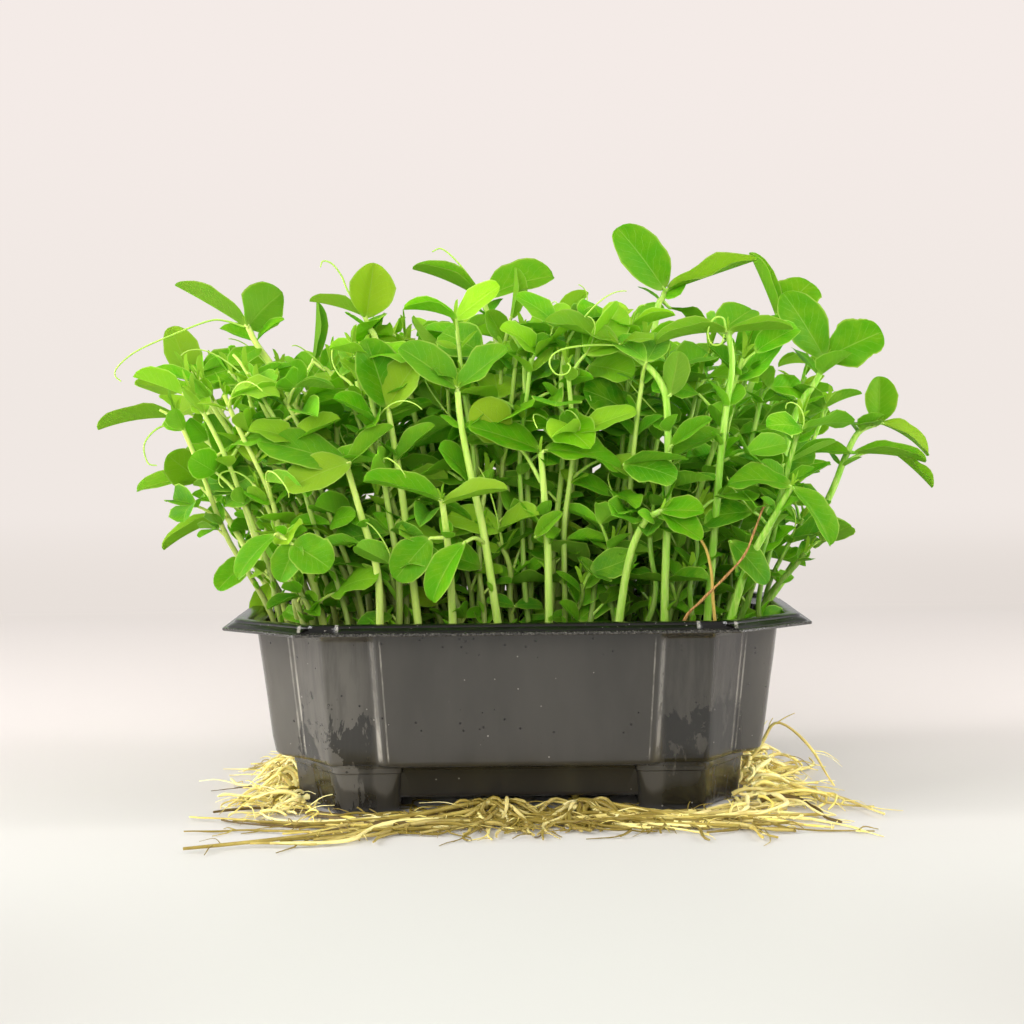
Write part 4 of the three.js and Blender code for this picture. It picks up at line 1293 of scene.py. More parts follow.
def wander(path, rng, amount):
    """A path with slow small bends, its two ends kept."""
    phase = [rng.uniform(0, 6.3) for _ in range(4)]
    out = []
    for i, p in enumerate(path):
        k = i / (len(path) - 1)
        env = math.sin(math.pi * k) * amount
        x = env * math.sin(4 * k + phase[0]) + 0.4 * env * math.sin(11 * k + phase[1])
        y = env * math.sin(5 * k + phase[2]) + 0.4 * env * math.sin(12 * k + phase[3])
        out.append(p + Vector((x, y, 0)))
    return out


def at_share(path, t):
    f = t * (len(path) - 1)
    i = min(int(f), len(path) - 2)
    return path[i].lerp(path[i + 1], f - i)


def along(path, t):
    return (at_share(path, min(1, t + 0.03)) - at_share(path, max(0, t - 0.03))).normalized()


def add_stipules(growth, path, t, length, ripe, turn=None):
    """A pair of half-clasping stipules at a node of the stem."""
    rng = growth.rng
    at, up = at_share(path, t), along(path, t)
    turn = rng.uniform(0, 360) if turn is None else turn
    for hand, form in enumerate(("stipule_2", "stipule_1")):
        out = heading(turn + 180 * hand + rng.uniform(-20, 20), rng.uniform(-5, 35))
        aim = (out * 0.85 + up * 0.6).normalized() * length * rng.uniform(0.85, 1.15)
        facing = up * 0.6 - out * 0.2 + Vector((0, -0.3, 0.2))
        tint = (ripe, rng.uniform(0.1, 0.4), rng.uniform(0.8, 1))
        growth.leaf(at + out * 0.9, aim, length * 0.72, form, facing, tint)


def add_scale_leaf(growth, path, t):
    rng = growth.rng
    at, up = at_share(path, t), along(path, t)
    out = heading(rng.uniform(0, 360), 10)
    aim = (out * 0.7 + up).normalized() * rng.uniform(4, 7)
    growth.leaf(at + out * 0.9, aim, 2.6, "scale_leaf", -out + up * 0.4, (rng.uniform(0.2, 0.7), 0.1, 0.9))


def add_bud(growth, path, size, ripe):
    """Young folded leaves standing at the tip."""
    at, up = path[-1], along(path, 1.0)
    turn = growth.rng.uniform(0, 360)
    tint = (min(1, ripe + 0.25), 0.1, 1)
    for k, (scale, form) in enumerate(((1.0, "closed_3"), (0.8, "closed_3"), (0.55, "slim_1"))):
        out = heading(turn + 140 * k, 60 - 10 * k)
        aim = (up * 1.0 + out * 0.5).normalized() * size * scale
        growth.leaf(at + out * 0.4, aim, size * 0.42 * scale, form, -out + Vector((0, 0, 0.2)), tint)


def tendril_path(rng, start, way, length):
    """A thin stalk that runs out, sags and ends in a hook or a coil."""
    side = way.cross(Vector((0, 0, 1))).normalized()
    lift_axis = side.cross(way).normalized()
    turns = rng.choice((0.35, 0.6, 1.3))
    sense = rng.choice((-1, 1))
    path = [Vector(start)]
    angle = 0.0
    steps = 18
    for k in range(steps):
        t = (k + 1) / steps
        angle += sense * math.tau * turns * (0.012 + 0.1 * max(0, t - 0.5) ** 1.1)
        way_now = way * math.cos(angle) + (lift_axis * 0.75 + side * 0.65) * math.sin(angle)
        path.append(path[-1] + way_now * length / steps + Vector((0, 0, -0.1 * t)))
    return path


# The dry stalk, and later the middles of the portrait leaves: the crowd's leaves don't grow before them.
IN_SIGHT = [Vector((65, -55, 75)), Vector((74, -57, 88))]


def hides_portrait(middle):
    """Whether a leaf would stand before a portrait leaf, or closely beside it, seen from the front."""
    return any(
        middle.y < seen.y + 2 and (middle.x - seen.x) ** 2 + (middle.z - seen.z) ** 2 < 81
        for seen in IN_SIGHT
    )


def leaf_pair(growth, at, azimuth, spread, rise, length, width, ripe, wax, forms=BROAD_FORMS):
    """Two leaflets at the end of a leaf stalk; their upper sides turn up and outwards."""
    rng = growth.rng
    light = 0.2 * smooth(112, 148, at.z) - 0.3 * (1 - smooth(62, 96, at.z))
    outward = Vector((at.x / 95, at.y / 55, 0))
    if outward.length > 1:
        outward.normalize()
    for hand in (-1, 1):
        size = length * rng.uniform(0.85, 1.1)
        tilt = Vector((rng.gauss(0, 0.35), rng.gauss(0, 0.35), 0.85)) + outward * rng.uniform(0.3, 1.1)
        for attempt in range(9):
            way = azimuth if attempt < 4 else rng.uniform(40, 140)
            aim = heading(way + hand * spread * rng.uniform(0.7, 1.25), rise + rng.uniform(-14, 14)) * size
            if not hides_portrait(at + aim * 0.5):
                wide = width * rng.uniform(0.9, 1.1) * size / length
                form = rng.choice(forms)
                tint = (ripe + rng.uniform(-0.16, 0.16), wax, min(1.2, rng.uniform(0.6, 1.16) + light))
                growth.leaf(at, aim, wide, form, tilt, tint)
                break


def ripeness(x, z, rng):
    """Young lime leaves are at the top and the left, old deep ones low down."""
    k = 0.46 + 0.22 * (z - 120) / 50 - 0.1 * x / 100
    return min(0.98, max(0.02, k + rng.gauss(0, 0.24)))


def crowd_shoot(number, base, crown, pairs, leaf, settings):
    """A shoot from its base to its crown, with pairs of leaves about as long as leaf says."""
    rng = random.Random(900 + number)
    growth = Growth(rng)
    path = spline(wander(stem_line(base, crown, 5 * (chance(number - 0.5) - 0.5)), rng, 2.2), 18)
    thick = rng.uniform(0.95, 1.28)
    yellow = min(1, max(0, 0.45 - base[0] / 130 + rng.gauss(0, 0.12)))
    # minus one: the stem gets the crowd's painted shade low down
    growth.stalk(path, thick, thick * 0.66, (yellow, -1, 0))
    growth.seed((*base, SEED_MIDDLE - 0.6), SEED_RADIUS * rng.uniform(0.85, 1.0))
    tall = (crown[2] - MAT_TOP) / 110
    for t in (rng.uniform(0.12, 0.2), rng.uniform(0.26, 0.36)):
        add_scale_leaf(growth, path, t)
    azimuth = math.degrees(math.atan2(crown[1], crown[0])) + rng.gauss(0, 60)
    for n in range(pairs):
        t = TOP_NODE - (0.15 * n + rng.uniform(0, 0.04)) / max(0.7, tall)
        at = at_share(path, t)
        stalk = rng.uniform(5, 11) + 2 * n
        way = heading(azimuth, 48 - 8 * n + rng.uniform(-14, 14))
        knee = at + way * stalk
        middle = at + way * stalk * 0.55 + Vector((0, 0, 0.8))
        growth.stalk(spline([at, middle, knee], 4), 0.62, 0.45, (yellow, 0, 0))
        ripe = ripeness(knee.x, knee.z, rng)
        wax = max(0, min(0.8, rng.gauss(0.28, 0.2)))
        size = leaf * PAIR_SIZES[n] * rng.uniform(0.85, 1.12)
        spread, rise = rng.uniform(55, 80), 26 - 9 * n + rng.uniform(-12, 12)
        leaf_pair(growth, knee, azimuth, spread, rise, size, size * rng.uniform(0.68, 0.84), ripe, wax)
        add_stipules(growth, path, t - 0.01, rng.uniform(7, 11), min(1, ripe + 0.1), azimuth + 90)
        if n < 3 and rng.random() < 0.3:
            growth.stalk(tendril_path(rng, knee, way, rng.uniform(14, 28)), 0.3, 0.18, (0.5, 1, 0))
        azimuth += 180 + rng.uniform(-45, 45)
    for t in (rng.uniform(0.24, 0.36), rng.uniform(0.38, 0.52)):
        if rng.random() < settings.low_leaves:
            at = at_share(path, t)
            azimuth += 180 + rng.uniform(-60, 60)
            knee = at + heading(azimuth, 45) * rng.uniform(3, 6)
            growth.stalk([at, knee], 0.5, 0.4, (yellow, 0, 0))
            size = rng.uniform(9, 14.5)
            spread, rise = rng.uniform(50, 80), rng.uniform(-5, 35)
            ripe = ripeness(knee.x, knee.z, rng)
            leaf_pair(growth, knee, azimuth, spread, rise, size, size * 0.66, ripe, 0.15, SMALL_FORMS)
    add_bud(growth, path, rng.uniform(7, 11), 0.6)
    return growth


def portrait_shoot(number, plan):
    rng = random.Random(500 + number)
    growth = Growth(rng)
    x, y = plan["base"]
    path = spline([(x, y, SEED_MIDDLE), *plan["stem"]], 34)
    yellow = min(1, max(0, 0.5 - x / 130))
    growth.stalk(path, plan.get("thick", 1.4), 0.95, (yellow, 0, 0))
    growth.seed((x, y, SEED_MIDDLE - 0.6), SEED_RADIUS * 0.95)
    for t in (0.14, 0.3):
        add_scale_leaf(growth, path, t)
    carriers = [*path[8:], *[Vector(line[-1]) for line in plan.get("petioles", ())]]
    for foot, aim, width, form, facing, ripe, wax in plan["leaves"]:
        foot, aim = Vector(foot), Vector(aim)
        # the tint's third value is painted shade: the portrait leaves get one half
        growth.leaf(foot, aim, width, form, facing, (ripe, wax, 0.5))
        nearest = min(carriers, key=lambda p: (p - foot).length)
        growth.stalk([nearest, foot, foot + aim * 0.05], 0.75, 0.45, (yellow, 0, 0))
        IN_SIGHT.append(foot + aim * 0.5)
    for line in plan.get("petioles", ()):
        growth.stalk(spline(line, 8), 0.7, 0.55, (yellow, 0, 0))
    for line in plan.get("tendrils", ()):
        growth.stalk(spline(line, 5 * len(line)), 0.36, 0.22, (0.4, 1, 0))
    for t, size in plan["stipules"]:
        add_stipules(growth, path, t, size, 0.5)
    add_bud(growth, path, 5.5, 0.6)
    return growth


FAN, EDGE_FAN = 1.55, 1.62  # how much further out a crown is than its base, in the crowd and at its edges
EDGE_SHOOTS = 21  # the first solid shoots stand at the crowd's edges
FILLERS = 84  # shoots between the solid ones
LATE_SHOOTS = 94  # short ones that came up after them
FILLER_GAP = 6.2  # between their bases
CROWD_FRONT = -42  # no crown of the crowd is nearer to the front than this


def solid_foot(name):
    """The base of a solid shoot on the medium, and its top, in the tray's millimetres."""
    solid = bpy.data.objects[name]
    points = [(v.co - MIDDLE) / MM for v in solid.data.vertices]
    low = min(p.z for p in points)
    foot = [p for p in points if p.z < low + 6]
    middle = sum(foot, Vector()) / len(foot)
    return (middle.x, middle.y), max(p.z for p in points)


def inside_mat(x, y):
    return abs(x) < 76 and abs(y) < 49 and abs(x) + abs(y) * 1.2 < 112


def filler_bases(taken, rng):
    bases = []
    tries = 0
    while len(bases) < FILLERS + LATE_SHOOTS and tries < 20000:
        tries += 1
        x, y = rng.uniform(-76, 76), rng.uniform(-41, 49)
        gap = FILLER_GAP * (1 if tries < 12000 else 0.8)
        if inside_mat(x, y) and all((x - a) ** 2 + (y - b) ** 2 > gap * gap for a, b in [*taken, *bases]):
            bases.append((x, y))
    return bases


def crown_height(x, y, rng):
    return 151 - 16 * (abs(x) / 70) ** 2 - 12 * (abs(y) / 50) ** 2 + rng.uniform(-12, 5)


def solid_shoots(taken, settings):
    """Name, growth, stem sides and solid of each shoot that has a solid; its base is added to taken."""
    grown = []
    solids = sorted(o.name for o in bpy.data.objects if o.name.startswith("pea_shoot_"))
    if not solids:
        raise RuntimeError("the solid shoots are missing")
    solids.sort(key=lambda name: int(name[-2:]) not in PORTRAITS)
    for name in solids:
        number = int(name[-2:])
        foot, top = solid_foot(name)
        taken.append(foot)
        if number in PORTRAITS:
            growth = portrait_shoot(number, PORTRAITS[number])
            taken.append(PORTRAITS[number]["base"])
            sides = settings.stem_sides
        else:
            x, y = foot
            at_edge = number <= EDGE_SHOOTS
            fan = EDGE_FAN if at_edge else FAN
            crown = (x * fan, max(CROWD_FRONT, y * fan), top - 14)
            growth = crowd_shoot(number, foot, crown, 4 if at_edge else 3, 21, settings)
            sides = settings.stem_sides - 2
        grown.append((f"shoot_{number:03d}", growth, sides, [name]))
    return grown


def filler_shoots(first, taken, settings):
    """The same of the shoots between the solid ones: tall ones first, then late ones."""
    grown = []
    rng = random.Random(11)
    for i, (x, y) in enumerate(filler_bases(taken, rng)):
        number = first + i
        late = i >= FILLERS
        if late:
            fan = rng.uniform(1.05, 1.25)
            height = rng.uniform(70, 108)
        else:
            fan = rng.uniform(1.25, 1.75 if x < -45 else 1.62 if x > 45 else 1.5)
            height = crown_height(x, y, rng)
        crown_x = max(-108, min(104, x * fan)) + rng.uniform(-6, 6)
        crown_y = max(CROWD_FRONT, y * fan) + rng.uniform(-5, 5)
        pairs = 2 if late else rng.choice((2, 3, 3, 4))
        crown = (crown_x, crown_y, height)
        growth = crowd_shoot(number, (x, y), crown, pairs, rng.uniform(17, 21.5), settings)
        grown.append((f"shoot_{number:03d}", growth, settings.stem_sides - 2, []))
    return grown


# ---------------------------------------------------------------- roots

LYING = 1.5  # height of the middle of a long root that lies on the floor
ROOT_FRONT, ROOT_SPARE = -94, 12  # beyond this the roots crowd together instead of reaching further
# long roots of each bundle: the drain hole they leave by, and the points that they pass
ROOT_BUNDLES = (
    (0, [[(-14, -58, 3), (-34, -72), (-58, -86), (-99, -107)], [(-8, -60, 3), (-14, -74), (-30, -88)],
         [(-4, -58, 3), (2, -76), (-4, -90)], [(-18, -56, 4), (-36, -64, 2), (-62, -70), (-82, -66)]]),
    (1, [[(16, -58, 3), (14, -72), (22, -88)], [(24, -58, 3), (38, -72), (62, -80), (84, -78)],
         [(26, -56, 4), (46, -63, 2), (70, -66), (94, -64)]]),
    (2, [[(-28, -12, 3), (-48, -9, 3), (-76, -12, 2), (-88, -24), (-90, -46)]]),
    (3, [[(40, -11, 3), (60, -10, 3), (84, -14, 2), (104, -34), (114, -64)]]),
    (6, [[(-10, 58, 3), (-24, 72), (-52, 84)], [(-4, 60, 3), (2, 80)]]),
    (7, [[(22, 58, 3), (34, 74), (60, 82)], [(16, 60, 3), (18, 76)]]),
    (8, [[(-68, 0, 3), (-84, -2), (-95, 2), (-98, 14)], [(-66, 7, 3), (-82, 14), (-90, 36), (-86, 58)]]),
    (9, [[(72, 0, 3), (81, 2, 12), (90, 0, 21), (99, -4, 12), (104, -12)],
         [(70, 7, 3), (86, 12), (102, 26), (104, 48)]]),
)

# Where roots come out from under the tray. x, y, z and wide: middle and scatter of their starts, way and
# spread in degrees, short and long: lengths across and along the tray, pile: its height, bend: how much they
# wind, soil_and_shade: how soiled they are, and at the front how much painted shade they carry. The roots of
# a fan without a bend arch over the edge of the plinth.
ARCHES = dict(y=-51.4, z=4.4, wide=(2.8, 0.3), way=-90, spread=75, short=46, long=40,
              count=26, thick=0.85, soil_and_shade=0.5)
RUNS = dict(y=-66, z=1.2, wide=(13, 6), spread=14, short=40, pile=0.8, bend=48, count=26, thick=0.92)
# a dense low tangle of dark roots under the front ones: soiled roots, and painted shade beneath those above
TANGLE = dict(y=-64, z=1.4, wide=(18, 6), spread=45, short=16, long=38, pile=1.6, bend=90,
              count=40, thick=0.8, soil_and_shade=0.8)
BEHIND = dict(y=52, z=4, wide=(18, 1.5), spread=80, short=28, long=60, pile=6, bend=60,
              count=30, thick=0.75, soil_and_shade=0.3)
ROOT_FANS = {  # by the hole they come from
    0: [dict(ARCHES, x=-8), dict(RUNS, x=-22, way=-173, long=78, soil_and_shade=0.42), dict(TANGLE, x=-8, way=180)],
    1: [dict(ARCHES, x=18.5), dict(RUNS, x=32, way=-8, long=74, soil_and_shade=0.36), dict(TANGLE, x=18, way=0)],
    2: [dict(x=-70, y=-30, z=5, wide=(3, 12), way=215, spread=60, short=18, long=32, pile=7, bend=80,
             count=32, thick=0.8, soil_and_shade=0.1)],
    3: [dict(x=76, y=-34, z=5, wide=(3, 12), way=-30, spread=55, short=26, long=46, pile=5, bend=70,
             count=34, thick=0.85, soil_and_shade=0.0)],
    6: [dict(BEHIND, x=-20, way=100)],
    7: [dict(BEHIND, x=26, way=80)],
    8: [dict(x=-72, y=16, z=6, wide=(2, 20), way=170, spread=75, short=26, long=28, pile=13, bend=90,
             count=58, thick=0.85, soil_and_shade=0.1)],
    9: [dict(x=74, y=8, z=6, wide=(2, 20), way=10, spread=75, short=30, long=44, pile=11, bend=110,
             count=46, thick=0.95, soil_and_shade=0.0)],
}


FOOT_KEEP_OUT = dict(inner=34.6, outer=76, near=14.2, far=54)  # no root lies in a foot
FOOT_SLANT = (0.884, 0.468)  # the way that its outer side faces
LEDGE_REACH = (81, 57)  # the wall starts here, above the ledge


def clear_of_tray(p, girth):
    """Moves a point of a root out from the plinth and the feet, and onto the floor."""
    x, y, z = p
    ax, ay = abs(x), abs(y)
    inner, outer, near, far = FOOT_KEEP_OUT.values()
    if inner < ax < outer and near < ay < far and z < LEDGE:
        corner_x, corner_y = FOOT_PLAN[1]
        slant = 1.8 - (FOOT_SLANT[0] * (ax - corner_x) - FOOT_SLANT[1] * (-corner_y - ay))
        ways = [(far - ay, (0, 1)), (ax - inner, (-1, 0)), (ay - near, (0, -1)), (slant, FOOT_SLANT)]
        depth, (sx, sy) = min(ways)
        if depth > 0:
            ax, ay = ax + sx * depth, ay + sy * depth
    x, y = math.copysign(ax, x), math.copysign(ay, y)
    if ax < PLINTH["x"] + 0.8 and ay < PLINTH["y"] + 0.8:
        z = min(z, FLOOR - girth - 0.1)
    elif ax < LEDGE_REACH[0] and ay < LEDGE_REACH[1]:
        z = min(z, LEDGE - 1.2 - girth)
    if y < ROOT_FRONT:
        y = ROOT_FRONT - ROOT_SPARE * (1 - math.exp((y - ROOT_FRONT) / ROOT_SPARE))
    return Vector((x, y, max(z, girth * 1.2 + 0.1)))


def creep(growth, start, azimuth, length, girth, tone, pile, bend, steps=18):
    """One root that runs out from a point, turns as it likes, and sinks to the floor."""
    rng = growth.rng
    phase = [rng.uniform(0, 6.3) for _ in range(7)]
    kink = rng.uniform(0.3, 0.8)
    kink_turn = rng.gauss(0, 35) if rng.random() < 0.5 else 0
    path = [Vector(start)]
    step = length / steps
    for k in range(1, steps + 1):
        t = k / steps
        a = azimuth + bend * (0.7 * math.sin(2.2 * t + phase[0]) - 0.7 * math.sin(phase[0]))
        a += 0.35 * bend * math.sin(7 * t + phase[1]) + 10 * math.sin(17 * t + phase[2])
        a += kink_turn * smooth(kink - 0.04, kink + 0.04, t)
        p = path[-1] + heading(a, 0) * step
        rest = girth + 0.15 + pile * (1 - t) ** 0.7 * (0.5 + 0.5 * math.sin(4 * t + phase[3]))
        rest += 0.5 * math.sin(9 * t + phase[4])
        p.z = mix(path[-1].z, rest, min(1, 0.35 + 0.02 * step))
        path.append(clear_of_tray(p, girth))
    return root_line(growth, path, girth, tone)


def arch(growth, start, azimuth, length, girth, tone, steps=16):
    """One root that comes up over the edge of the plinth and arches down to the floor."""
    rng = growth.rng
    turn = (azimuth + 90) * rng.uniform(-0.3, 0.5) + rng.gauss(0, 16)
    fall = rng.uniform(0.4, 0.75)
    rise = rng.uniform(0.3, 2.4)
    path = [Vector(start)]
    for k in range(1, steps + 1):
        t = k / steps
        p = path[-1] + heading(azimuth + turn * t + 14 * math.sin(7 * t + turn), 0) * length / steps
        top = start.z + rise * math.sin(math.pi * min(1, 2.6 * t))
        p.z = mix(top, girth + 0.2, smooth(0.12, fall, t))
        path.append(clear_of_tray(p, girth))
    return root_line(growth, path, girth, tone)


def root_line(growth, path, girth, tone=None):
    """Grows a root along a path; one in fifty is dead, the others are soiled, and at the front given painted
    shade, as the growth says.
    """
    rng = growth.rng
    phase = rng.uniform(0, 6.3)
    tone = rng.random() if tone is None else tone
    soil_and_shade = 1.0 if rng.random() < 0.02 else min(0.9, max(0, rng.gauss(growth.soil_and_shade, 0.2)))
    growth.stalk(path, girth, girth * 0.5, (tone, soil_and_shade, 0), lambda k: 1 + 0.14 * math.sin(21 * k + phase))
    return path


def fine_roots(growth, path, count, reach):
    rng = growth.rng
    for _ in range(count):
        t = rng.uniform(0.2, 0.97)
        at, way = at_share(path, t), along(path, t)
        side = Vector((-way.y, way.x, 0)) * rng.choice((-1, 1))
        aim = way * 0.6 + side * rng.uniform(0.4, 1.0) + Vector((0, 0, rng.uniform(-0.2, 0.25)))
        aim.normalize()
        length = reach * rng.uniform(0.3, 1)
        girth = rng.uniform(0.14, 0.3)
        end = at + aim * length
        stray = Vector((rng.uniform(-1.2, 1.2), rng.uniform(-1.2, 1.2), rng.uniform(-0.3, 0.8)))
        middle = at + aim * length * 0.5 + stray
        points = spline([at, middle, Vector((end.x, end.y, max(0.35, end.z - 1.2)))], 7)
        root_line(growth, [Vector((p.x, p.y, max(girth * 1.2 + 0.1, p.z))) for p in points], girth)


def long_root(growth, hole, strand):
    """A root that comes down through its drain hole and follows a strand's points over the floor."""
    rng = growth.rng
    x, y = DRAIN_HOLES[hole]
    down = [Vector((x, y, FLOOR + 1.0)), Vector((x, y, 3.4))]
    path = spline([*down, *[Vector((*p[:2], p[2] if len(p) > 2 else LYING)) for p in strand]], 34)
    phase = [rng.uniform(0, 6.3) for _ in range(4)]
    for i, p in enumerate(path):
        k = i / 34
        sway = 1.3 * min(1, 4 * k)
        p.x += sway * math.sin(9 * k + phase[0]) + 0.4 * sway * math.sin(23 * k + phase[1])
        p.y += sway * math.sin(8 * k + phase[2]) + 0.4 * sway * math.sin(25 * k + phase[3])
        p.z = max(1.4, p.z)
    root_line(growth, path, rng.uniform(0.8, 1.0))
    fine_roots(growth, path, 7, 15)


def fan_root(growth, fan):
    """One root of a fan: it arches out from the plinth, or creeps if the fan says how much it bends."""
    rng = growth.rng
    x = fan["x"] + rng.gauss(0, fan["wide"][0])
    y = fan["y"] + rng.gauss(0, fan["wide"][1])
    at = Vector((x, y, fan["z"] * rng.uniform(0.3, 1)))
    azimuth = fan["way"] + fan["spread"] * rng.uniform(-1, 1)
    sideways = abs(math.cos(math.radians(azimuth)))
    length = mix(fan["short"], fan["long"], sideways ** 1.5) * rng.uniform(0.45, 1.05)
    girth = fan["thick"] * rng.uniform(0.5, 1.05)
    tone = rng.betavariate(1.6, 1.6)
    if "bend" in fan:
        start = clear_of_tray(at, girth)
        path = creep(growth, start, azimuth, length, girth, tone, fan["pile"], fan["bend"])
    else:
        path = arch(growth, at, azimuth, length, girth, tone * 0.6)
    fine_roots(growth, path, rng.randint(1, 4), 12)


def root_bundle(index, hole, strands, settings):
    growth = Growth(random.Random(70 + index))
    growth.soil_and_shade = 0.5 if hole < 2 else 0.1
    for strand in strands:
        long_root(growth, hole, strand)
    for fan in ROOT_FANS[hole]:
        growth.soil_and_shade = fan["soil_and_shade"]
        for _ in range(round(fan["count"] * settings.fullness)):
            fan_root(growth, fan)
    return growth


def root_material(settings):
    material, kit = new_material("pea root")
    tone, soil_and_shade, run = kit.split(kit.attribute("tint"))
    spot = kit.tray_millimetres()
    blotch = kit.grain(spot, 0.09, 4, 0.6)
    fine = kit.grain(spot, 1.2, 4, 0.65)
    colour = kit.blend(tone, settings.root_cream, settings.root_yellow)
    dried = kit.step(kit.plus(blotch, kit.times(run, 0.18)), 0.5, 0.78)
    dried = kit.times(dried, kit.line(soil_and_shade, 0.6, 0.25))
    colour = kit.blend(dried, colour, settings.root_tan)
    colour = kit.blend(kit.step(fine, 0.4, 0.75, 0, 0.35), colour, settings.root_cream)
    # soiled roots turn tan and olive; at the front this is also painted shade between and under the strands
    colour = kit.blend(kit.step(soil_and_shade, 0.15, 0.6, 0, 0.85), colour, settings.root_soiled_and_shaded)
    stain_and_shade = kit.line(blotch, 0.5, kit.minus(soil_and_shade, 0.25))
    colour = kit.blend(kit.step(stain_and_shade, 0.15, 0.7, 0, 0.85), colour, settings.root_stain_and_shade)
    colour = kit.blend(kit.step(soil_and_shade, 0.93, 0.97, 0, 0.75), colour, settings.root_dead)
    kit.finish(kit.principled(
        Base_Color=colour, Roughness=kit.step(fine, 0.3, 0.7, 0.4, 0.65),
        Normal=kit.bump(fine, 0.5, 0.0003),
        Subsurface_Weight=0.25, Subsurface_Radius=(1.0, 0.7, 0.35), Subsurface_Scale=0.001,
    ))
    return material


# ---------------------------------------------------------------- dry stalk

DRY_STEM = (
    (50, -51, MAT_TOP + 1.2), (52, -53, 60), (58, -56, 68), (65, -57, 75), (71, -58, 82), (74, -58, 89),
    (77, -58, 97),
)
DRY_TIP = ((76, -58, 94.5), (77, -58, 96.5), (78.3, -58.4, 97.6))
DRY_LEAF = (
    (57.5, -56, 87), (59.5, -56, 83), (61, -55, 76), (61.5, -54, 67), (62.5, -52, 57), (63, -49, 48),
    (63, -47, MAT_TOP + 1),
)


def dry_material():
    material, kit = new_material("dry stalk")
    lines = kit.grain(kit.tray_millimetres(0.15), 2.5, 4, 0.7)
    colour = kit.blend(kit.step(lines, 0.35, 0.7), "7c5424", "cc9c5c")
    yellow = kit.split(kit.attribute("tint"))[0]
    colour = kit.blend(kit.times(yellow, 0.7), colour, "c4ac4c")
    kit.finish(kit.principled(Base_Color=colour, Roughness=0.7, Normal=kit.bump(lines, 0.7, 0.0003)))
    return material


# ---------------------------------------------------------------- settings


def colour_property(name, description, code):
    return FloatVectorProperty(name=name, description=description, subtype="COLOR", size=3, min=0, max=1,
                               default=srgb(code))


def share_property(name, description, share, high=1):
    return FloatProperty(name=name, description=description, default=share, min=0, max=high)


def sides_property(name, description, sides):
    return IntProperty(name=name, description=description, default=sides, min=4, max=16)


def light_property(name, description, strength, unit="NONE"):
    return FloatProperty(name=name, description=description, default=strength, min=0, unit=unit)


class TraySettings(bpy.types.PropertyGroup):
    plastic: colour_property("Plastic", "Colour of the clean wet plastic", "0f0e0c")
    # the dried water's colour also stands in for reflected light, so it is partly painted light
    film_and_light: colour_property("Dried film", "Colour of the film that dried water leaves on it", "3f3c37")
    # painted sheen on the tray's left and right ends
    painted_end_sheen: colour_property("Haze", "Colour of the film where it is thickest", "6e6a62")
    # the pale colour of crumbs and scuffs also paints the highlights along the creases and the glints at the
    # dents
    scale: colour_property("Limescale", "Colour of limescale, crumbs and scuffs", "b4aea2")
    specks: colour_property("Dark specks", "Colour of the dark specks", "15120f")


class ShootSettings(bpy.types.PropertyGroup):
    low_leaves: share_property("Low leaves", "Share of the low nodes that bear leaves", 0.6)
    stem_sides: sides_property("Stem sides", "Flat faces around a stem", 9)
    deep_green: colour_property("Deep green", "Colour of old leaves", "32900c")
    leaf_green: colour_property("Leaf green", "Colour of most leaves", "68c404")
    lime: colour_property("Lime", "Colour of young leaves", "bce030")
    bloom: colour_property("Bloom", "Colour of the wax on old leaves", "9cd054")
    underside: colour_property("Underside", "Colour of the leaves' lower sides", "9ccc44")
    vein: colour_property("Veins", "Colour of midribs, veins and margins", "c8ea60")
    flecks: colour_property("Flecks", "Colour of the pale flecks", "cde29a")
    glow: colour_property("Glow", "Colour of light that shines through a leaf", "b4ee18")
    stem_green: colour_property("Stem green", "Colour of the greener stems", "8ccc34")
    stem_yellow: colour_property("Stem yellow", "Colour of the yellower stems", "d8ec74")
    stem_pale: colour_property("Stem streaks", "Colour of the pale streaks", "dcee86")


class RootSettings(bpy.types.PropertyGroup):
    fullness: share_property("Fullness", "Share of the roots that are grown", 1.0, 2)
    root_sides: sides_property("Root sides", "Flat faces around a root", 5)
    root_cream: colour_property("Cream", "Colour of fresh roots", "fcf0b0")
    root_yellow: colour_property("Yellow", "Colour of older roots", "f4de68")
    root_tan: colour_property("Tan", "Colour of dried roots", "b08c3c")
    # the soiled and stain colours are also painted shade on the front roots
    root_soiled_and_shaded: colour_property("Soiled", "Colour of soiled roots", "b49c3c")
    root_stain_and_shade: colour_property("Stains", "Colour of the stains on soiled roots", "6a5a12")
    root_dead: colour_property("Dead", "Colour of dead roots", "4f3a1c")


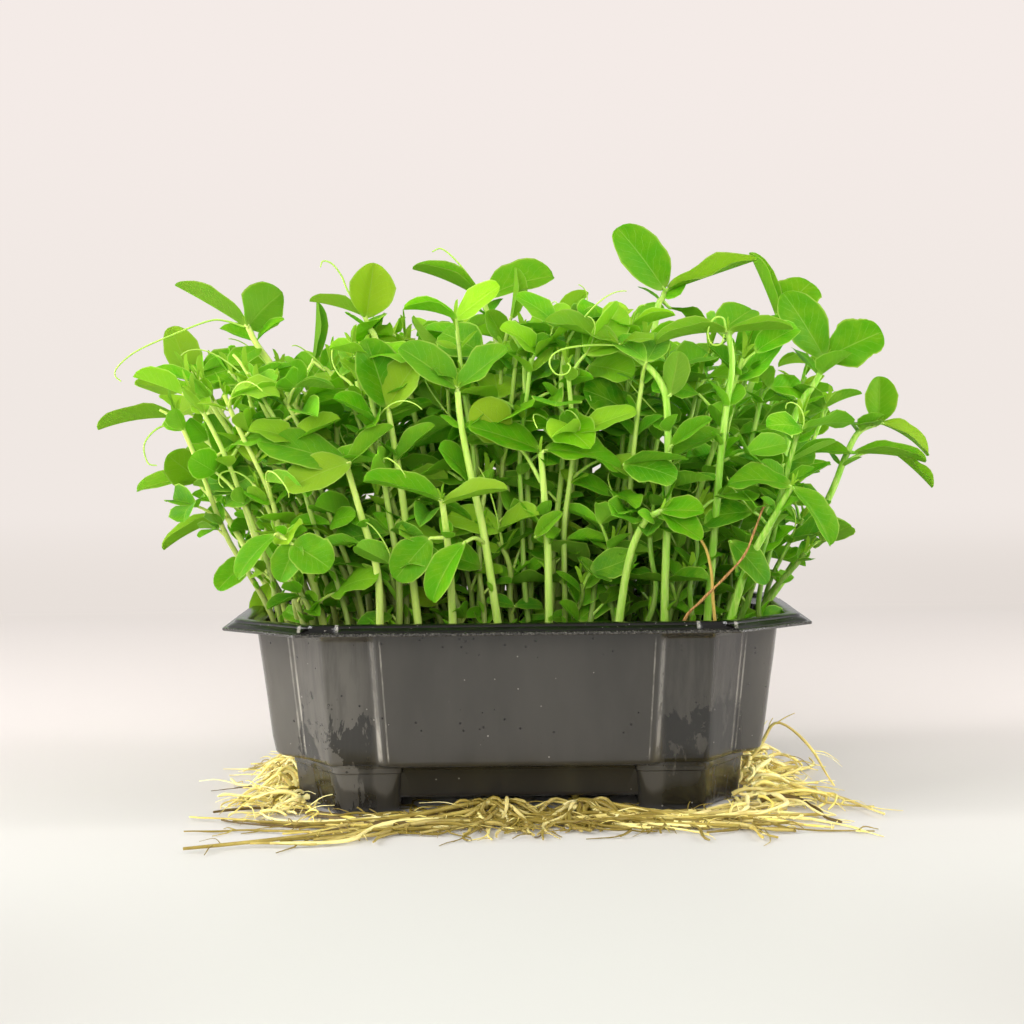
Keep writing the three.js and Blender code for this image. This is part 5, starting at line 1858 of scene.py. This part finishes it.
class StageSettings(bpy.types.PropertyGroup):
    floor: colour_property("Floor", "Colour of the floor around the tray", "e3dbd6")
    # painted shade: the floor is darker near the camera and darker still at the front corners
    floor_front: colour_property("Floor in front", "Colour of the floor near the camera", "d3d2cc")
    floor_corners: colour_property("Floor corners", "Colour of the floor at the front corners", "b8b2ac")
    backdrop_low: colour_property("Backdrop low", "Colour of the backdrop above the floor", "e8e0da")
    backdrop_side: colour_property("Backdrop side", "Colour of the backdrop at the right", "e2dad4")
    backdrop_middle: colour_property("Backdrop middle", "Backdrop behind the shoots", "f0e8e3")
    backdrop_high: colour_property("Backdrop high", "Colour of the backdrop further up", "f4ebe7")
    daylight: light_property("Daylight", "Strength of the light from the front", 0.78)
    wall_light: light_property("Side light", "Strength of the light from the sides", 0.95)
    ceiling_light: light_property("Ceiling", "Strength of the light from above", 0.35)
    key_light: light_property("Left softbox", "Power of the softbox on the left", 26.0, "POWER")
    fill_light: light_property("Right softbox", "Power of the softbox on the right", 10.0, "POWER")
    front_light: light_property("Front softbox", "Power of the softbox over the camera", 42.0, "POWER")
    strip_light: light_property("Strips", "Power of the narrow lights at the sides", 5.0, "POWER")


GROUPS = (
    ("pea_tray", TraySettings),
    ("pea_shoots", ShootSettings),
    ("pea_roots", RootSettings),
    ("pea_stage", StageSettings),
)

# ---------------------------------------------------------------- operators


class BuildTray(bpy.types.Operator):
    """Builds the formed plastic tray with its rim, recessed panels, plinth, feet and drain holes"""

    bl_idname = "pea.build_tray"
    bl_label = "Tray"

    def execute(self, context):
        tray = tray_object()
        tray.data.materials.clear()
        tray.data.materials.append(tray_material(context.scene.pea_tray))
        hand_over(tray, "black_plastic", "tray")
        return {"FINISHED"}


class BuildMat(bpy.types.Operator):
    """Builds the coir growing medium in the tray"""

    bl_idname = "pea.build_mat"
    bl_label = "Growing medium"

    def execute(self, context):
        mat = mat_object()
        mat.data.materials.append(coir_material())
        hand_over(mat, "coir", "growing_mat")
        return {"FINISHED"}


class GrowShoots(bpy.types.Operator):
    """Grows every shoot: seed, stem, scale leaves, leaf pairs, stipules, tendrils and bud"""

    bl_idname = "pea.grow_shoots"
    bl_label = "Shoots"

    def execute(self, context):
        settings = context.scene.pea_shoots
        stem = stem_material(settings)
        forms = form_collection(leaf_material(settings), seed_material())
        tree = shoot_tree()
        taken = []
        grown = solid_shoots(taken, settings)
        grown += filler_shoots(len(grown) + 1, taken, settings)
        for name, growth, sides, solids in grown:
            raise_piece(name, growth, tree, "shoot_green", solids,
                        Forms=forms, Stem_Sides=sides, Stem_Material=stem)
        return {"FINISHED"}


class GrowRoots(bpy.types.Operator):
    """Grows the bundles of roots that leave the drain holes and lie around the tray"""

    bl_idname = "pea.grow_roots"
    bl_label = "Roots"

    def execute(self, context):
        settings = context.scene.pea_roots
        material = root_material(settings)
        tree = strand_tree()
        for index, (hole, strands) in enumerate(ROOT_BUNDLES):
            growth = root_bundle(index, hole, strands, settings)
            number = f"{index + 1:02d}"
            raise_piece("roots_" + number, growth, tree, "root_cream", ["root_bundle_" + number],
                        Sides=settings.root_sides, Material=material)
        return {"FINISHED"}


class LayDryStalk(bpy.types.Operator):
    """Lays the dry brown stalk that leans out between the stems"""

    bl_idname = "pea.lay_dry_stalk"
    bl_label = "Dry stalk"

    def execute(self, context):
        growth = Growth(random.Random(5))
        brown, yellow = (0, 0.5, 0), (1, 0.5, 0)
        growth.stalk(spline(DRY_STEM, 40), 0.52, 0.32, brown, bulge=lambda k: 1 + 0.15 * math.sin(40 * k))
        growth.stalk(spline(DRY_TIP, 6), 0.3, 0.15, brown)
        growth.stalk(spline(DRY_LEAF, 30), 0.42, 0.62, yellow)
        raise_piece("dry_stalk_detailed", growth, strand_tree(), "dry_straw", ["dry_stalk"],
                    Sides=8, Material=dry_material())
        return {"FINISHED"}


FLOOR_REACH = 9000
DAYLIGHT_COLOUR = (1, 0.985, 0.965, 1)
CAMERA_PLACE = (-1.3, -750, 128)
CAMERA_TILT = 2.63  # degrees down
CAMERA_ROLL = -0.01134  # radians


def floor_material(settings):
    material, kit = new_material("pale floor")
    x, y, z = kit.split(kit.tray_millimetres())
    # painted shade: the floor darkens towards the camera, and more at the front corners
    colour = kit.blend(kit.step(y, -260, 200), settings.floor_front, settings.floor)
    aside = kit.distance(x)
    corner = kit.times(kit.band(aside, 20, 160, 220, 420), kit.step(y, -280, -110, 0.5, 0))
    colour = kit.blend(corner, colour, settings.floor_corners)
    shader = kit.principled(Base_Color=colour, Roughness=0.5, Specular_IOR_Level=0.15)
    # far back, and far out at the sides, the floor is seen as the foot of the backdrop
    far = kit.blend(kit.step(y, 640, 2200), settings.backdrop_low, settings.backdrop_middle)
    shade = kit.times(kit.step(x, 40, 330), kit.step(y, 640, 1600, 0.8, 0))
    far = kit.blend(shade, far, settings.backdrop_side)
    seen = kit.add("ShaderNodeEmission", {"Color": far, "Strength": 1.0})
    direct = kit.node("ShaderNodeLightPath").outputs["Is Camera Ray"]
    before = kit.math("MINIMUM", y, 0.0)
    away = kit.math("SQRT", kit.line(before, before, kit.times(x, x)))
    beyond = kit.times(direct, kit.most(kit.step(y, 600, 690), kit.step(away, 340, 520)))
    kit.finish(kit.add("ShaderNodeMixShader", {0: beyond, 1: shader, 2: seen}))
    return material


def daylight(settings):
    """A room with bright walls and a darker ceiling, dimmer behind the camera."""
    world = bpy.data.worlds.new("daylight")
    world.use_nodes = True
    world.node_tree.nodes.clear()
    kit = Kit(world.node_tree)
    x, y, z = kit.split(kit.node("ShaderNodeTexCoord").outputs["Generated"])
    ceiling = kit.fall(z, 0.5, 0.8)
    sides = kit.step(kit.distance(x), 0.35, 0.8)
    level = kit.line(sides, settings.wall_light - settings.daylight, settings.daylight)
    level = kit.times(level, kit.step(x, -0.6, 0.6, 1.1, 0.88))
    level = kit.line(ceiling, kit.minus(level, settings.ceiling_light), settings.ceiling_light)
    lit = kit.add("ShaderNodeBackground", {"Color": DAYLIGHT_COLOUR, "Strength": level})
    high = kit.blend(kit.step(z, 0, 0.16), settings.backdrop_middle, settings.backdrop_high)
    seen = kit.add("ShaderNodeBackground", {"Color": high, "Strength": 1.0})
    direct = kit.node("ShaderNodeLightPath").outputs["Is Camera Ray"]
    both = kit.add("ShaderNodeMixShader", {0: direct, 1: lit, 2: seen})
    kit.finish(both, "ShaderNodeOutputWorld")
    return world


def area_light(name, at, size, power):
    lamp = bpy.data.lights.new(name, "AREA")
    lamp.shape = "RECTANGLE"
    lamp.size, lamp.size_y = size
    lamp.energy = power
    thing = bpy.data.objects.new(name, lamp)
    thing.location = place(*at)
    aim = Vector(place(0, 0, 80)) - Vector(place(*at))
    thing.rotation_euler = aim.to_track_quat("-Z", "Y").to_euler()
    bpy.context.scene.collection.objects.link(thing)
    return thing


class SetStage(bpy.types.Operator):
    """Sets the floor, the backdrop, the lights and the camera"""

    bl_idname = "pea.set_stage"
    bl_label = "Stage"

    def execute(self, context):
        settings = context.scene.pea_stage
        scene = context.scene
        scene.view_settings.view_transform = "Standard"
        corners = [place(x * FLOOR_REACH, y * FLOOR_REACH) for x, y in ((-1, -1), (1, -1), (1, 1), (-1, 1))]
        floor = new_object("floor", mesh_from("floor", corners, [(0, 1, 2, 3)]))
        floor.data.materials.append(floor_material(settings))
        scene.world = daylight(settings)
        area_light("left softbox", (-1900, -900, 1500), (1.5, 1.5), settings.key_light)
        area_light("right softbox", (1900, -800, 1500), (1.5, 1.5), settings.fill_light)
        front = area_light("front softbox", (-350, -2300, 950), (1.6, 1.6), settings.front_light)
        front.visible_glossy = False
        area_light("left strip", (-800, -120, 260), (0.1, 0.8), settings.strip_light)
        area_light("right strip", (830, -100, 260), (0.1, 0.8), settings.strip_light)
        lens = bpy.data.cameras.new("camera")
        lens.lens = 78.2
        lens.sensor_width = 36
        lens.clip_start, lens.clip_end = 0.01, 20
        camera = bpy.data.objects.new("camera", lens)
        camera.location = place(*CAMERA_PLACE)
        tilt = Euler((math.radians(90 - CAMERA_TILT), 0, 0)).to_matrix()
        camera.rotation_euler = (tilt @ Matrix.Rotation(CAMERA_ROLL, 3, "Z")).to_euler()
        scene.collection.objects.link(camera)
        scene.camera = camera
        return {"FINISHED"}


OPERATORS = (BuildTray, BuildMat, GrowShoots, GrowRoots, LayDryStalk, SetStage)


class PeaPanel(bpy.types.Panel):
    bl_idname = "VIEW3D_PT_pea_shoots"
    bl_label = "Pea shoots"
    bl_space_type = "VIEW_3D"
    bl_region_type = "UI"
    bl_category = "Pea shoots"

    def draw(self, context):
        for name, group in GROUPS:
            box = self.layout.box()
            for key in group.__annotations__:
                box.prop(getattr(context.scene, name), key)
        for operator in OPERATORS:
            self.layout.operator(operator.bl_idname)


CLASSES = (*[group for _, group in GROUPS], *OPERATORS, PeaPanel)


def register():
    for cls in CLASSES:
        bpy.utils.register_class(cls)
    for name, group in GROUPS:
        setattr(bpy.types.Scene, name, PointerProperty(type=group))


def unregister():
    for name, _ in GROUPS:
        delattr(bpy.types.Scene, name)
    for cls in reversed(CLASSES):
        bpy.utils.unregister_class(cls)


def main():
    register()
    bpy.ops.pea.build_tray()
    bpy.ops.pea.build_mat()
    bpy.ops.pea.grow_shoots()
    bpy.ops.pea.grow_roots()
    bpy.ops.pea.lay_dry_stalk()
    bpy.ops.pea.set_stage()


if __name__ == "__main__":
    main()
